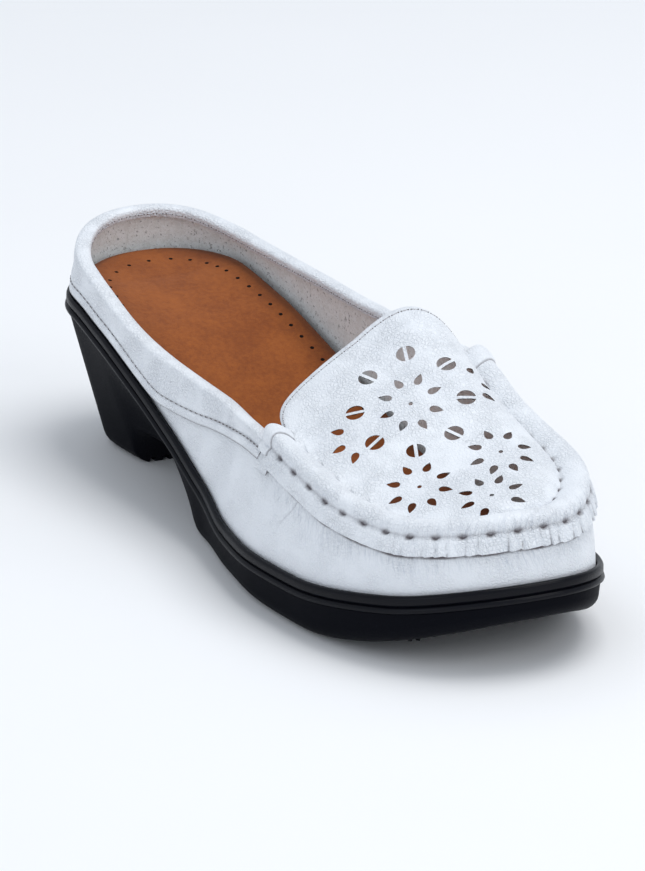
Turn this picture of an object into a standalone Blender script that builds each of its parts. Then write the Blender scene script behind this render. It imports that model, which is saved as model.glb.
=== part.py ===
"""Right-foot wedge slip-on shoe: black moulded sole, leather upper, perforated plug and footbed.

The shoe points along +X, its inner (medial) side is +Y and it stands on Z = 0.
Every form is worked out from the named sizes and the short tables below.
"""

import math
from typing import NamedTuple

import bmesh
import bpy
from mathutils import Matrix, Vector
from mathutils.bvhtree import BVHTree

# Driving sizes, in metres
LENGTH = 0.248
BALL_WIDTH = 0.088
HEEL_HEIGHT = 0.049
COLLAR_HEIGHT = 0.060
INSTEP_HEIGHT = 0.060
TOE_SPRING = 0.0150
TOE_SHIFT = 0.0075
HEEL_ROUND = 0.030
TOE_ROUND = 0.048
HEEL_POWER = 2.2
TOE_POWER = 2.3

# Walls and clearances
GAP = 0.0003
LEATHER = 0.0020
BAND_LEATHER = 0.0012
FLANGE_LEATHER = 0.0012
KEEPER_LEATHER = 0.0011

# Sole side, counted from the top of the rim
LIP_HEIGHT = 0.0030
LIP_WIDTH = 0.0024
BEAD_HEIGHT = 0.0024
BAND_STEP = 0.0012
CUP_DEPTH = 0.0030
EDGE_RADIUS = 0.0042

# Heel base
HEEL_BREAST = 0.0460
BREAST_FILLET = 0.0070
ARCH_HEIGHT = 0.0130
ARCH_END = 0.1140

# Tread
TREAD_DEPTH = 0.0014
TREAD_BORDER = 0.0036
LUG_LENGTH = 0.0072
LUG_WIDTH = 0.0040
LUGS = 5
LUG_ROW = (0.56, 0.88)
HEEL_RECESS_MARGIN = 0.0218
TOE_RECESS_MARGIN = 0.0112
BLOCK_LENGTH = 0.0062
BLOCK_GAP = 0.0020
BLOCK_MARGIN = 0.0035
BLOCK_OVERRUN = 0.0040
HEEL_BLOCKS = 8
FOREFOOT_BLOCKS = 11

# Footbed
INSOLE_INSET = 0.0060
HEEL_LIFT = 0.0048
TOE_LIFT = 0.0022
DISH_DEPTH = 0.0030
INSOLE_EDGE = 0.0012

# Plug
ROLL_WIDTH = 0.0075
ROLL_HEIGHT = 0.0034
PANEL_LIFT = 0.0027
FLANGE_WIDTH = 0.0046
TONGUE_BOW = 0.0140
WALL_CURVE = 1.8
ROLL_STEPS = (0.12, 0.3, 0.5, 0.7, 0.88)

# Collar band
BAND_TURN = 0.0040
BAND_BLEND = 0.0022
KEEPER_WIDTH = 0.0070
KEEPER_CLEARANCE = 0.0007
KEEPER_ROWS = (-0.35, 0.0, 0.5, 1.0, 1.35)

# Punched pattern
PETAL_LENGTH = 0.0040
PETAL_WIDTH = 0.0021
PETAL_RING = 0.0074
PETALS = 8
DOT_WIDTH = 0.0013
RING_RADIUS = 0.0153
RING_HOLES = 8
RING_HOLE = 0.0053
RING_BAR = 0.0010
PUNCH_DEPTH = 0.0032
PATTERN_FROM_TOE = 0.0712
PATTERN_ACROSS = 0.0008
PATTERN_TURN = -4.0
PATTERN_STRETCH = 1.15
OUTER_FLOWERS = ((0.0272, -0.0121), (0.0415, 0.0), (0.0272, 0.0121))
PART_FLOWER = (0.0015, 0.0155)
PART_FLOWER_TURNS = (45.0, 90.0, 135.0)

# Mesh density
STATIONS = 34
WALL_ROWS = 5
PANEL_COLUMNS = 12


class OutlineRow(NamedTuple):
    """Half widths as shares of the ball width, at a share of the length."""

    along: float
    lateral: float
    medial: float


class HeightRow(NamedTuple):
    """Height as a share of a named height, at a share of the length."""

    along: float
    lateral: float
    medial: float


OUTLINE = (
    OutlineRow(0.00, 0.332, 0.327),
    OutlineRow(0.12, 0.386, 0.346),
    OutlineRow(0.25, 0.408, 0.381),
    OutlineRow(0.37, 0.410, 0.415),
    OutlineRow(0.47, 0.422, 0.438),
    OutlineRow(0.57, 0.478, 0.461),
    OutlineRow(0.67, 0.515, 0.481),
    OutlineRow(0.77, 0.498, 0.488),
    OutlineRow(0.87, 0.438, 0.468),
    OutlineRow(1.00, 0.364, 0.426),
)

# Top of the rim, as shares of the heel height
RIM = (
    HeightRow(0.00, 0.986, 0.986),
    HeightRow(0.10, 0.990, 0.990),
    HeightRow(0.20, 0.915, 0.915),
    HeightRow(0.30, 0.766, 0.766),
    HeightRow(0.40, 0.579, 0.579),
    HeightRow(0.50, 0.400, 0.400),
    HeightRow(0.60, 0.330, 0.330),
    HeightRow(0.75, 0.338, 0.338),
    HeightRow(0.90, 0.424, 0.424),
    HeightRow(1.00, 0.552, 0.552),
)

# How far the sole's wall runs in by ground level, as shares of the ball width
UNDERCUT = (
    HeightRow(0.00, 0.142, 0.142),
    HeightRow(0.10, 0.148, 0.148),
    HeightRow(0.18, 0.175, 0.175),
    HeightRow(0.26, 0.270, 0.250),
    HeightRow(0.33, 0.262, 0.275),
    HeightRow(0.40, 0.105, 0.210),
    HeightRow(0.46, 0.040, 0.150),
    HeightRow(0.52, 0.032, 0.076),
    HeightRow(0.60, 0.032, 0.036),
    HeightRow(1.00, 0.032, 0.032),
)

# Top edge of the upper above the ground, as shares of the collar height
TOP_EDGE = (
    HeightRow(0.00, 1.090, 1.090),
    HeightRow(0.08, 1.015, 1.025),
    HeightRow(0.18, 0.928, 0.990),
    HeightRow(0.28, 0.828, 0.970),
    HeightRow(0.38, 0.768, 0.950),
    HeightRow(0.50, 0.738, 0.955),
    HeightRow(0.60, 0.745, 0.975),
    HeightRow(0.65, 0.735, 0.925),
    HeightRow(0.72, 0.695, 0.810),
    HeightRow(0.80, 0.635, 0.745),
    HeightRow(0.90, 0.605, 0.715),
    HeightRow(0.96, 0.640, 0.700),
    HeightRow(1.00, 0.680, 0.680),
)

# How far the top edge lies inside the rim, as shares of the ball width
TOP_INSET = (
    HeightRow(0.00, 0.048, 0.048),
    HeightRow(0.08, 0.060, 0.060),
    HeightRow(0.18, 0.052, 0.048),
    HeightRow(0.28, 0.052, 0.046),
    HeightRow(0.38, 0.070, 0.048),
    HeightRow(0.50, 0.105, 0.058),
    HeightRow(0.60, 0.120, 0.070),
    HeightRow(0.72, 0.103, 0.066),
    HeightRow(0.85, 0.090, 0.060),
    HeightRow(1.00, 0.070, 0.070),
)

# Lower edge of the collar band above the ground, as shares of the collar height
BAND_EDGE = (
    HeightRow(0.00, 0.500, 0.500),
    HeightRow(0.35, 0.566, 0.560),
    HeightRow(0.44, 0.582, 0.575),
    HeightRow(0.57, 0.648, 0.660),
    HeightRow(0.65, 0.665, 0.700),
)

# Crown of the plug over the line between its creases, as a share of the instep height,
# at a share of the way from the throat to the toe
CREST = (
    HeightRow(0.00, 0.225, 0.225),
    HeightRow(0.15, 0.200, 0.200),
    HeightRow(0.35, 0.120, 0.120),
    HeightRow(0.60, 0.070, 0.070),
    HeightRow(0.85, 0.030, 0.030),
    HeightRow(1.00, 0.000, 0.000),
)

LATERAL = -1
MEDIAL = 1
PLUG_START = 0.630
CREST_SKEW = {LATERAL: 0.010, MEDIAL: 0.0145}
TONGUE_SQUARE = {LATERAL: 12.0, MEDIAL: 2.2}
SHIFT_START = 0.55
SPRING_START = 0.75
SPRING_POWER = 1.8


def table_value(table, share, side):
    """Smooth value of a table's column for one side of the shoe."""
    column = "lateral" if side == LATERAL else "medial"
    xs = [row.along for row in table]
    ys = [getattr(row, column) for row in table]
    if share <= xs[0]:
        return ys[0]
    if share >= xs[-1]:
        return ys[-1]
    slopes = [(ys[i + 1] - ys[i]) / (xs[i + 1] - xs[i]) for i in range(len(xs) - 1)]
    tangents = [slopes[0]]
    for before, after in zip(slopes, slopes[1:]):
        mean = 0.0 if before * after <= 0 else 2 * before * after / (before + after)
        tangents.append(mean)
    tangents.append(slopes[-1])
    k = max(i for i in range(len(xs) - 1) if xs[i] <= share)
    step = xs[k + 1] - xs[k]
    t = (share - xs[k]) / step
    return (
        (2 * t**3 - 3 * t**2 + 1) * ys[k]
        + (t**3 - 2 * t**2 + t) * step * tangents[k]
        + (3 * t**2 - 2 * t**3) * ys[k + 1]
        + (t**3 - t**2) * step * tangents[k + 1]
    )


def share_angle(share):
    """Station angle of a share of the length; equal angles crowd the heel and the toe."""
    return math.acos(1.0 - 2.0 * share)


def angle_share(angle):
    """Share of the length at a station angle."""
    return (1.0 - math.cos(angle)) / 2.0


def station_angles():
    """Angles of the shared sections, with extra ones at the heel breast and the plug's start."""
    spacing = math.pi / STATIONS
    extra = [
        (HEEL_BREAST - 0.25 * BREAST_FILLET) / LENGTH,
        HEEL_BREAST / LENGTH,
        (HEEL_BREAST + 0.25 * BREAST_FILLET) / LENGTH,
        (HEEL_BREAST + BREAST_FILLET) / LENGTH,
        PLUG_START,
    ]
    fixed = [share_angle(share) for share in extra]
    even = [
        i * spacing
        for i in range(STATIONS + 1)
        if min(abs(i * spacing - angle) for angle in fixed) > 0.45 * spacing
    ]
    return sorted(even + fixed)


ANGLES = station_angles()


def rounding(share):
    """Superellipse that closes the outline at the heel and the toe."""
    x = share * LENGTH
    if x < HEEL_ROUND:
        return (1.0 - ((HEEL_ROUND - x) / HEEL_ROUND) ** HEEL_POWER) ** (1 / HEEL_POWER)
    if x > LENGTH - TOE_ROUND:
        reach = min(1.0, (x - LENGTH + TOE_ROUND) / TOE_ROUND)
        return (1.0 - reach**TOE_POWER) ** (1 / TOE_POWER)
    return 1.0


def plan_point(side, angle):
    """Point of the rim's plan outline on one side."""
    share = angle_share(angle)
    shift = TOE_SHIFT * max(0.0, (share - SHIFT_START) / (1.0 - SHIFT_START)) ** 2
    half = table_value(OUTLINE, share, side) * BALL_WIDTH
    return Vector((share * LENGTH, shift + side * (half - side * shift) * rounding(share)))


def plan_normal(side, angle):
    """Outward normal of the plan outline."""
    if angle < 0.002:
        return Vector((-1.0, 0.0))
    if angle > math.pi - 0.002:
        return Vector((1.0, 0.0))
    step = 0.002
    tangent = plan_point(side, angle + step) - plan_point(side, angle - step)
    return Vector((-side * tangent.y, side * tangent.x)).normalized()


def edge_point(side, angle, inset, height):
    """Point at a height, inside the plan outline by an inset."""
    flat = plan_point(side, angle) - plan_normal(side, angle) * inset
    return Vector((flat.x, flat.y, height))


def rim_height(angle):
    """Top of the sole's rim."""
    return table_value(RIM, angle_share(angle), LATERAL) * HEEL_HEIGHT


def base_height(angle):
    """Underside of the sole: flat heel base, arch, flat forefoot and toe spring."""
    share = angle_share(angle)
    x = share * LENGTH
    if x <= HEEL_BREAST:
        return 0.0
    if x < ARCH_END:
        rise = min(1.0, (x - HEEL_BREAST) / BREAST_FILLET)
        fall = (ARCH_END - x) / (ARCH_END - HEEL_BREAST)
        return ARCH_HEIGHT * math.sin(rise * math.pi / 2) ** 0.7 * fall**1.35
    lift = max(0.0, (share - SPRING_START) / (1.0 - SPRING_START))
    return TOE_SPRING * lift**SPRING_POWER


def wall_top(angle):
    """Height where the sole's wall meets the bead."""
    return rim_height(angle) - LIP_HEIGHT - BEAD_HEIGHT


def undercut(side, angle, height):
    """Inset of the sole's wall at a height."""
    top = wall_top(angle)
    ground = table_value(UNDERCUT, angle_share(angle), side) * BALL_WIDTH
    return BAND_STEP + (ground - BAND_STEP) * (top - height) / top


def sole_sections():
    """Rows of the sole's side from its underside to the cup, as inset and height functions."""

    def wall(above, extra):
        def row(side, angle):
            height = base_height(angle) + above
            return undercut(side, angle, height) + extra, height

        return row

    def wall_middle(side, angle):
        height = (base_height(angle) + EDGE_RADIUS + wall_top(angle)) / 2
        return undercut(side, angle, height), height

    def rim(inset, below):
        def row(side, angle):
            return inset, rim_height(angle) - below

        return row

    band = LIP_HEIGHT + BEAD_HEIGHT
    return (
        wall(0.0, EDGE_RADIUS),
        wall(0.12 * EDGE_RADIUS, 0.50 * EDGE_RADIUS),
        wall(0.42 * EDGE_RADIUS, 0.14 * EDGE_RADIUS),
        wall(EDGE_RADIUS, 0.0),
        wall_middle,
        rim(BAND_STEP, band),
        rim(0.25 * BAND_STEP, LIP_HEIGHT + 0.87 * BEAD_HEIGHT),
        rim(0.0, LIP_HEIGHT + 0.50 * BEAD_HEIGHT),
        rim(0.25 * BAND_STEP, LIP_HEIGHT + 0.17 * BEAD_HEIGHT),
        rim(0.75 * BAND_STEP, LIP_HEIGHT),
        rim(0.40 * BAND_STEP, 0.83 * LIP_HEIGHT),
        rim(0.45 * BAND_STEP, 0.30 * LIP_HEIGHT),
        rim(0.90 * BAND_STEP, 0.07 * LIP_HEIGHT),
        rim(0.80 * LIP_WIDTH, 0.0),
        rim(LIP_WIDTH, 0.10 * LIP_HEIGHT),
        rim(LIP_WIDTH, CUP_DEPTH),
    )


def section_loop(row):
    """Closed loop of points for one row: heel, lateral side, toe, medial side."""
    lateral = [edge_point(LATERAL, angle, *row(LATERAL, angle)) for angle in ANGLES]
    medial = [edge_point(MEDIAL, angle, *row(MEDIAL, angle)) for angle in ANGLES[1:-1]]
    return lateral + medial[::-1]


def add_face(bm, verts):
    """Add a face, leaving out repeated corners."""
    corners = [v for i, v in enumerate(verts) if v is not verts[i - 1]]
    if len(corners) > 2:
        bm.faces.new(corners)


def loft(bm, loops):
    """Join closed loops of equally many vertices by quads."""
    for lower, upper in zip(loops, loops[1:]):
        count = len(lower)
        for i in range(count):
            j = (i + 1) % count
            add_face(bm, [lower[i], lower[j], upper[j], upper[i]])


def cap(bm, loop, across=1, lift=None):
    """Close a section loop with rungs from its lateral to its medial side."""
    last = len(ANGLES) - 1
    rungs = []
    for i, angle in enumerate(ANGLES):
        if i in (0, last):
            rungs.append([loop[i]] * (across + 1))
            continue
        left, right = loop[i], loop[len(loop) - i]
        inner = []
        for j in range(1, across):
            share = j / across
            point = left.co.lerp(right.co, share)
            if lift is not None:
                point.z += lift(angle, 2.0 * share - 1.0)
            inner.append(bm.verts.new(point))
        rungs.append([left, *inner, right])
    for near, far in zip(rungs, rungs[1:]):
        for j in range(across):
            add_face(bm, [near[j], near[j + 1], far[j + 1], far[j]])


def face_outwards(bm, heart):
    """Turn an open sheet so that it faces away from a point."""
    bm.normal_update()
    facing = sum(face.normal.dot(face.calc_center_median() - heart) for face in bm.faces)
    if facing < 0:
        bmesh.ops.reverse_faces(bm, faces=bm.faces)


def finish(name, bm, colour, roughness, collection, smooth=50.0, closed=True):
    """Make an object with its own material from a bmesh."""
    if closed:
        bmesh.ops.recalc_face_normals(bm, faces=bm.faces)
    mesh = bpy.data.meshes.new(name)
    bm.to_mesh(mesh)
    bm.free()
    mesh.shade_smooth()
    mesh.set_sharp_from_angle(angle=math.radians(smooth))
    material = bpy.data.materials.new(name)
    material.use_nodes = True
    shader = material.node_tree.nodes["Principled BSDF"]
    shader.inputs["Base Color"].default_value = (*colour, 1.0)
    shader.inputs["Roughness"].default_value = roughness
    shader.inputs["Metallic"].default_value = 0.0
    mesh.materials.append(material)
    obj = bpy.data.objects.new(name, mesh)
    collection.objects.link(obj)
    return obj


def paired_shell(bm, outer, inner, folded_end=False):
    """Close two matching grids of points into a solid, joined along their borders.

    With folded_end the last row folds back on itself, so its two halves already meet.
    """
    rows, columns = len(outer), len(outer[0])
    cache = {}

    def vertex(point):
        key = tuple(round(value, 7) for value in point)
        if key not in cache:
            cache[key] = bm.verts.new(point)
        return cache[key]

    top = [[vertex(point) for point in row] for row in outer]
    low = [[vertex(point) for point in row] for row in inner]
    for i in range(rows - 1):
        for j in range(columns - 1):
            add_face(bm, [top[i][j], top[i][j + 1], top[i + 1][j + 1], top[i + 1][j]])
            add_face(bm, [low[i][j], low[i + 1][j], low[i + 1][j + 1], low[i][j + 1]])
    border = [(i, 0) for i in range(rows - 1, 0, -1)]
    border += [(0, j) for j in range(columns)]
    border += [(i, columns - 1) for i in range(1, rows)]
    if not folded_end:
        border += [(rows - 1, j) for j in range(columns - 2, -1, -1)]
    for (i, j), (k, m) in zip(border, border[1:]):
        add_face(bm, [top[i][j], low[i][j], low[k][m], top[k][m]])


def set_boolean(obj, cutter, operation="DIFFERENCE"):
    """Cut or join an object with another."""
    modifier = obj.modifiers.new(cutter.name, "BOOLEAN")
    modifier.operation = operation
    modifier.object = cutter
    modifier.solver = "EXACT"


def as_cutter(obj):
    """Hide a cutter from the finished model."""
    obj.hide_render = True
    obj.display_type = "WIRE"
    return obj


def prism(bm, outline, low, high):
    """Add an upright prism over a closed outline of flat points."""
    bottom = [bm.verts.new((x, y, low)) for x, y in outline]
    top = [bm.verts.new((x, y, high)) for x, y in outline]
    bm.faces.new(bottom[::-1])
    bm.faces.new(top)
    for i in range(len(outline)):
        j = (i + 1) % len(outline)
        bm.faces.new([bottom[i], bottom[j], top[j], top[i]])


def drop_outline(length, width, count=12):
    """Drop with its point at +X, centred on its length."""
    points = []
    for i in range(count):
        turn = 2 * math.pi * i / count
        points.append((0.5 * length * math.cos(turn), width * math.sin(turn) * math.sin(turn / 2) * 0.65))
    return points


def upper_height(side, angle, rise):
    """Height of the upper's outer face at a share of the way up its wall."""
    low = rim_height(angle) - CUP_DEPTH + GAP
    high = table_value(TOP_EDGE, angle_share(angle), side) * COLLAR_HEIGHT
    return low + (high - low) * rise


def upper_point(side, angle, rise):
    """Point of the upper's outer face at a share of the way up its wall."""
    base = LIP_WIDTH + GAP
    top = table_value(TOP_INSET, angle_share(angle), side) * BALL_WIDTH
    inset = base + (top - base) * rise**WALL_CURVE
    return edge_point(side, angle, inset, upper_height(side, angle, rise))


def wall_frame(side, angle, rise):
    """Outward normal and upward tangent of the upper's wall in its own section."""
    near = upper_point(side, angle, rise - 0.02)
    far = upper_point(side, angle, rise)
    up = (far - near).normalized()
    flat = plan_normal(side, angle)
    out = Vector((flat.x, flat.y, 0.0))
    out = (out - up * out.dot(up)).normalized()
    return out, up


def make_sole(collection, cutters):
    """Black moulded unit: tread, wedge heel, bead, lip and the cup for the upper."""
    bm = bmesh.new()
    loops = [[bm.verts.new(point) for point in section_loop(row)] for row in sole_sections()]
    loft(bm, loops)
    cap(bm, loops[0])
    cap(bm, loops[-1])
    sole = finish("sole_unit", bm, (0.018, 0.019, 0.024), 0.5, collection, smooth=35.0)
    set_boolean(sole, forefoot_recess(cutters))
    set_boolean(sole, heel_recess(cutters))
    set_boolean(sole, block_grooves(cutters))
    return sole


def tread_edge(side, angle, border):
    """Flat point inside the sole's base by a border."""
    inset = undercut(side, angle, base_height(angle)) + EDGE_RADIUS + border
    point = edge_point(side, angle, inset, 0.0)
    return point.x, point.y


def recess(name, start, end, cutters):
    """Cutter that sinks the tread's floor between two stations, following the toe spring."""
    margin = 0.3 * math.pi / STATIONS
    angles = [start] + [a for a in ANGLES if start + margin < a < end - margin] + [end]
    bm = bmesh.new()
    rows = []
    for angle in angles:
        left = tread_edge(LATERAL, angle, TREAD_BORDER)
        right = tread_edge(MEDIAL, angle, TREAD_BORDER)
        height = base_height(angle) + TREAD_DEPTH
        rows.append([(left, height), (right, height)])
    outer = [[Vector((x, y, height)) for (x, y), height in row] for row in rows]
    inner = [[Vector((x, y, -TREAD_DEPTH)) for (x, y), height in row] for row in rows]
    paired_shell(bm, outer, inner)
    return as_cutter(finish(name, bm, (0.5, 0.5, 0.5), 0.5, cutters))


def forefoot_recess(cutters):
    """Recess of the forefoot tread with its drop-shaped lugs left standing."""
    start = share_angle((ARCH_END + BLOCK_LENGTH + BLOCK_GAP) / LENGTH)
    end = share_angle(1.0 - TOE_RECESS_MARGIN / LENGTH)
    cutter = recess("forefoot_recess", start, end, cutters)
    bm = bmesh.new()
    for side in (LATERAL, MEDIAL):
        for lug in range(LUGS):
            grow = 1.0 + 0.08 * lug
            angle = share_angle(LUG_ROW[0] + (LUG_ROW[1] - LUG_ROW[0]) * lug / (LUGS - 1))
            x, y = tread_edge(side, angle, TREAD_BORDER + LUG_LENGTH * grow * 0.8)
            out = plan_normal(side, angle)
            turn = Matrix(((out.x, -out.y), (out.y, out.x)))
            shape = [turn @ Vector(p) for p in drop_outline(LUG_LENGTH * grow, LUG_WIDTH * grow)]
            outline = [(x + p.x, y + p.y) for p in shape]
            prism(bm, outline, -2 * TREAD_DEPTH, HEEL_HEIGHT / 2)
    lugs = as_cutter(finish("lug_cores", bm, (0.5, 0.5, 0.5), 0.5, cutters))
    set_boolean(cutter, lugs)
    return cutter


def heel_recess(cutters):
    """Recess of the heel's tread behind its row of blocks."""
    start = share_angle(HEEL_RECESS_MARGIN / LENGTH)
    end = share_angle((HEEL_BREAST - BLOCK_LENGTH - BLOCK_MARGIN) / LENGTH)
    return recess("heel_recess", start, end, cutters)


def block_grooves(cutters):
    """Grooves between the blocks along the heel breast and the forefoot's rear edge."""
    bm = bmesh.new()
    rows = (
        (HEEL_BREAST - BLOCK_LENGTH, HEEL_BREAST + BLOCK_OVERRUN, HEEL_BLOCKS),
        (ARCH_END - BLOCK_OVERRUN, ARCH_END + BLOCK_LENGTH, FOREFOOT_BLOCKS),
    )
    for start, end, blocks in rows:
        angle = share_angle((start + end) / 2 / LENGTH)
        low = tread_edge(LATERAL, angle, -EDGE_RADIUS)[1]
        high = tread_edge(MEDIAL, angle, -EDGE_RADIUS)[1]
        pitch = (high - low) / blocks
        for i in range(1, blocks):
            y = low + i * pitch
            half = BLOCK_GAP / 2
            outline = [(start, y - half), (end, y - half), (end, y + half), (start, y + half)]
            prism(bm, outline, -2 * TREAD_DEPTH, TREAD_DEPTH)
    return as_cutter(finish("block_grooves", bm, (0.5, 0.5, 0.5), 0.5, cutters))


def insole_lift(angle):
    """Height of the footbed's edge over the rim."""
    share = min(1.0, angle_share(angle) / 0.5)
    return HEEL_LIFT + (TOE_LIFT - HEEL_LIFT) * share


def make_insole(collection):
    """Tan footbed, dished under the heel."""

    def row(inset, below):
        def place(side, angle):
            return INSOLE_INSET + inset, rim_height(angle) + insole_lift(angle) - below

        return place

    def bottom(side, angle):
        return INSOLE_INSET + 0.5 * INSOLE_EDGE, rim_height(angle) - CUP_DEPTH + GAP

    def dish(angle, across):
        share = angle_share(angle)
        depth = DISH_DEPTH * min(1.0, share / 0.1) * max(0.0, 1.0 - share / 0.62) ** 0.7
        return -depth * (1.0 - across * across)

    bm = bmesh.new()
    edge = INSOLE_EDGE
    rows = (bottom, row(0.0, 1.17 * edge), row(0.25 * edge, 0.33 * edge), row(edge, 0.0))
    loops = [[bm.verts.new(point) for point in section_loop(place)] for place in rows]
    loft(bm, loops)
    cap(bm, loops[0])
    cap(bm, loops[-1], across=6, lift=dish)
    return finish("insole", bm, (0.42, 0.17, 0.065), 0.75, collection)


def make_upper(collection):
    """Hollow leather wall of vamp and quarters, open above and below."""
    bm = bmesh.new()
    loops = []
    for i in range(WALL_ROWS + 1):
        rise = i / WALL_ROWS
        lateral = [upper_point(LATERAL, angle, rise) for angle in ANGLES]
        medial = [upper_point(MEDIAL, angle, rise) for angle in ANGLES[1:-1]]
        loops.append([bm.verts.new(point) for point in lateral + medial[::-1]])
    loft(bm, loops)
    face_outwards(bm, Vector((LENGTH / 2, 0.0, HEEL_HEIGHT / 2)))
    upper = finish("upper", bm, (0.80, 0.84, 0.89), 0.42, collection, closed=False)
    solidify = upper.modifiers.new("Leather", "SOLIDIFY")
    solidify.thickness = LEATHER
    solidify.offset = -1.0
    solidify.use_even_offset = True
    return upper


def plug_section(side, angle):
    """Outer and inner rows of the plug's border: flange, stitch crease, roll and inner crease."""
    seam = upper_point(side, angle, 1.0)
    out, up = wall_frame(side, angle, 1.0)
    flat = plan_normal(side, angle)
    inward = Vector((-flat.x, -flat.y, 0.0))
    wall = (seam - upper_point(side, angle, 0.0)).length
    outer, inner = [], []
    for share in (1.0, 0.5):
        rise = 1.0 - share * FLANGE_WIDTH / wall
        point = upper_point(side, angle, rise)
        normal, _ = wall_frame(side, angle, rise)
        outer.append(point + normal * (GAP + FLANGE_LEATHER))
        inner.append(point + normal * GAP)
    crease = seam + out * (GAP + 0.55 * FLANGE_LEATHER) + up * (GAP + 0.33 * FLANGE_LEATHER)
    under = seam + out * GAP + up * GAP
    along = (angle_share(angle) - PLUG_START) / (1.0 - PLUG_START)
    width = ROLL_WIDTH * (0.75 + 0.25 * min(1.0, max(0.0, along / 0.25)))
    panel = seam + inward * width + Vector((0.0, 0.0, PANEL_LIFT))
    lift = Vector((0.0, 0.0, 1.0)) * 0.85 + Vector((flat.x, flat.y, 0.0)) * 0.5
    lift.normalize()
    outer.append(crease)
    inner.append(under)
    floor = panel - Vector((0.0, 0.0, LEATHER))
    for share in ROLL_STEPS:
        arch = ROLL_HEIGHT * math.sin(math.pi * share) ** 0.75
        outer.append(crease.lerp(panel, share) + lift * arch)
        inner.append(under.lerp(floor, share) + lift * 0.35 * arch)
    outer.append(panel)
    inner.append(floor)
    return outer, inner


def panel_rung(angle):
    """Points of the plug's panel across the shoe, from crease to crease."""
    start = plug_section(LATERAL, angle)[0][-1]
    end = plug_section(MEDIAL, angle)[0][-1]
    first = share_angle(PLUG_START)
    along = (angle - first) / (math.pi - first)
    crown = table_value(CREST, along, LATERAL) * INSTEP_HEIGHT
    fade = (1.0 - along) ** 2
    points = []
    for j in range(1, PANEL_COLUMNS):
        across = 2.0 * j / PANEL_COLUMNS - 1.0
        point = start.lerp(end, (across + 1.0) / 2.0)
        side = MEDIAL if across > 0 else LATERAL
        point.z += crown * (1.0 - abs(across) ** 3.5)
        point.z += CREST_SKEW[side] * fade * across * (1.0 - abs(across) ** 3)
        point.x -= TONGUE_BOW * fade * (1.0 - abs(across) ** TONGUE_SQUARE[side])
        points.append(point)
    return points


def plug_angles():
    """Stations that the plug spans, from its throat to the toe."""
    first = share_angle(PLUG_START)
    return [angle for angle in ANGLES if angle > first - 1e-6]


def plug_grids():
    """Outer and inner grids of the plug, a row for each station across the whole piece."""
    outer, inner = [], []
    drop = Vector((0.0, 0.0, LEATHER * 1.1))
    for angle in plug_angles():
        left_out, left_in = plug_section(LATERAL, angle)
        right_out, right_in = plug_section(MEDIAL, angle)
        panel = panel_rung(angle)
        outer.append(left_out + panel + right_out[::-1])
        inner.append(left_in + [point - drop for point in panel] + right_in[::-1])
    return outer, inner


def make_plug(collection, cutters):
    """Perforated apron with its roll and flange, closing the vamp."""
    bm = bmesh.new()
    outer, inner = plug_grids()
    paired_shell(bm, outer, inner, folded_end=True)
    plug = finish("plug", bm, (0.84, 0.87, 0.92), 0.4, collection)
    set_boolean(plug, pattern_cutter(outer, cutters))
    return plug


def disc_outline(width, count=8):
    """Round outline."""
    turns = [2 * math.pi * i / count for i in range(count)]
    return [(width / 2 * math.cos(turn), width / 2 * math.sin(turn)) for turn in turns]


def half_moon_outline(width, bar, side, count=5):
    """One half of a round hole that a bar along X splits."""
    start = math.asin(bar / width)
    turns = [start + (math.pi - 2 * start) * i / (count - 1) for i in range(count)]
    points = [(width / 2 * math.cos(turn), side * width / 2 * math.sin(turn)) for turn in turns]
    return points if side > 0 else points[::-1]


def flower(x, y, turns):
    """Outlines and centres of petals around a dot; each petal points outwards."""
    shapes = [(disc_outline(DOT_WIDTH, 5), (x, y), 0.0)]
    petal = drop_outline(PETAL_LENGTH, PETAL_WIDTH, 8)
    for turn in turns:
        centre = (x + PETAL_RING * math.cos(turn), y + PETAL_RING * math.sin(turn))
        shapes.append((petal, centre, turn))
    return shapes


def pattern_shapes():
    """Outline, centre and turn of every punched hole, in the pattern's own plane."""
    even = [2 * math.pi * i / PETALS for i in range(PETALS)]
    shapes = flower(0.0, 0.0, even)
    for i in range(RING_HOLES):
        turn = 2 * math.pi * (i + 0.5) / RING_HOLES
        centre = (RING_RADIUS * math.cos(turn), RING_RADIUS * math.sin(turn))
        for side in (-1, 1):
            shapes.append((half_moon_outline(RING_HOLE, RING_BAR, side), centre, turn))
    for along, across in OUTER_FLOWERS:
        shapes += flower(along, across, even)
    for side in (-1, 1):
        turns = [side * math.radians(value) for value in PART_FLOWER_TURNS]
        shapes += flower(PART_FLOWER[0], side * PART_FLOWER[1], turns)[1:]
    return shapes


def pattern_cutter(outer, cutters):
    """Punches for the pattern, each standing square on the plug's surface."""
    bm = bmesh.new()
    tree = surface_tree(outer)
    tilt = Matrix.Rotation(math.radians(PATTERN_TURN), 2)
    middle = Vector((LENGTH - PATTERN_FROM_TOE, PATTERN_ACROSS))
    for outline, centre, turn in pattern_shapes():
        flat = tilt @ Vector((centre[0] * PATTERN_STRETCH, centre[1])) + middle
        spot, normal, _, _ = tree.ray_cast(Vector((*flat, 1.0)), Vector((0, 0, -1)))
        angle = turn + math.radians(PATTERN_TURN)
        along = Vector((math.cos(angle), math.sin(angle), 0.0))
        along = (along - normal * along.dot(normal)).normalized()
        across = normal.cross(along)
        ring = [spot + along * x + across * y for x, y in outline]
        low = [bm.verts.new(point - normal * PUNCH_DEPTH) for point in ring]
        top = [bm.verts.new(point + normal * PUNCH_DEPTH) for point in ring]
        bm.faces.new(low[::-1])
        bm.faces.new(top)
        for i in range(len(ring)):
            j = (i + 1) % len(ring)
            bm.faces.new([low[i], low[j], top[j], top[i]])
    return as_cutter(finish("pattern_punches", bm, (0.5, 0.5, 0.5), 0.5, cutters))


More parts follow.
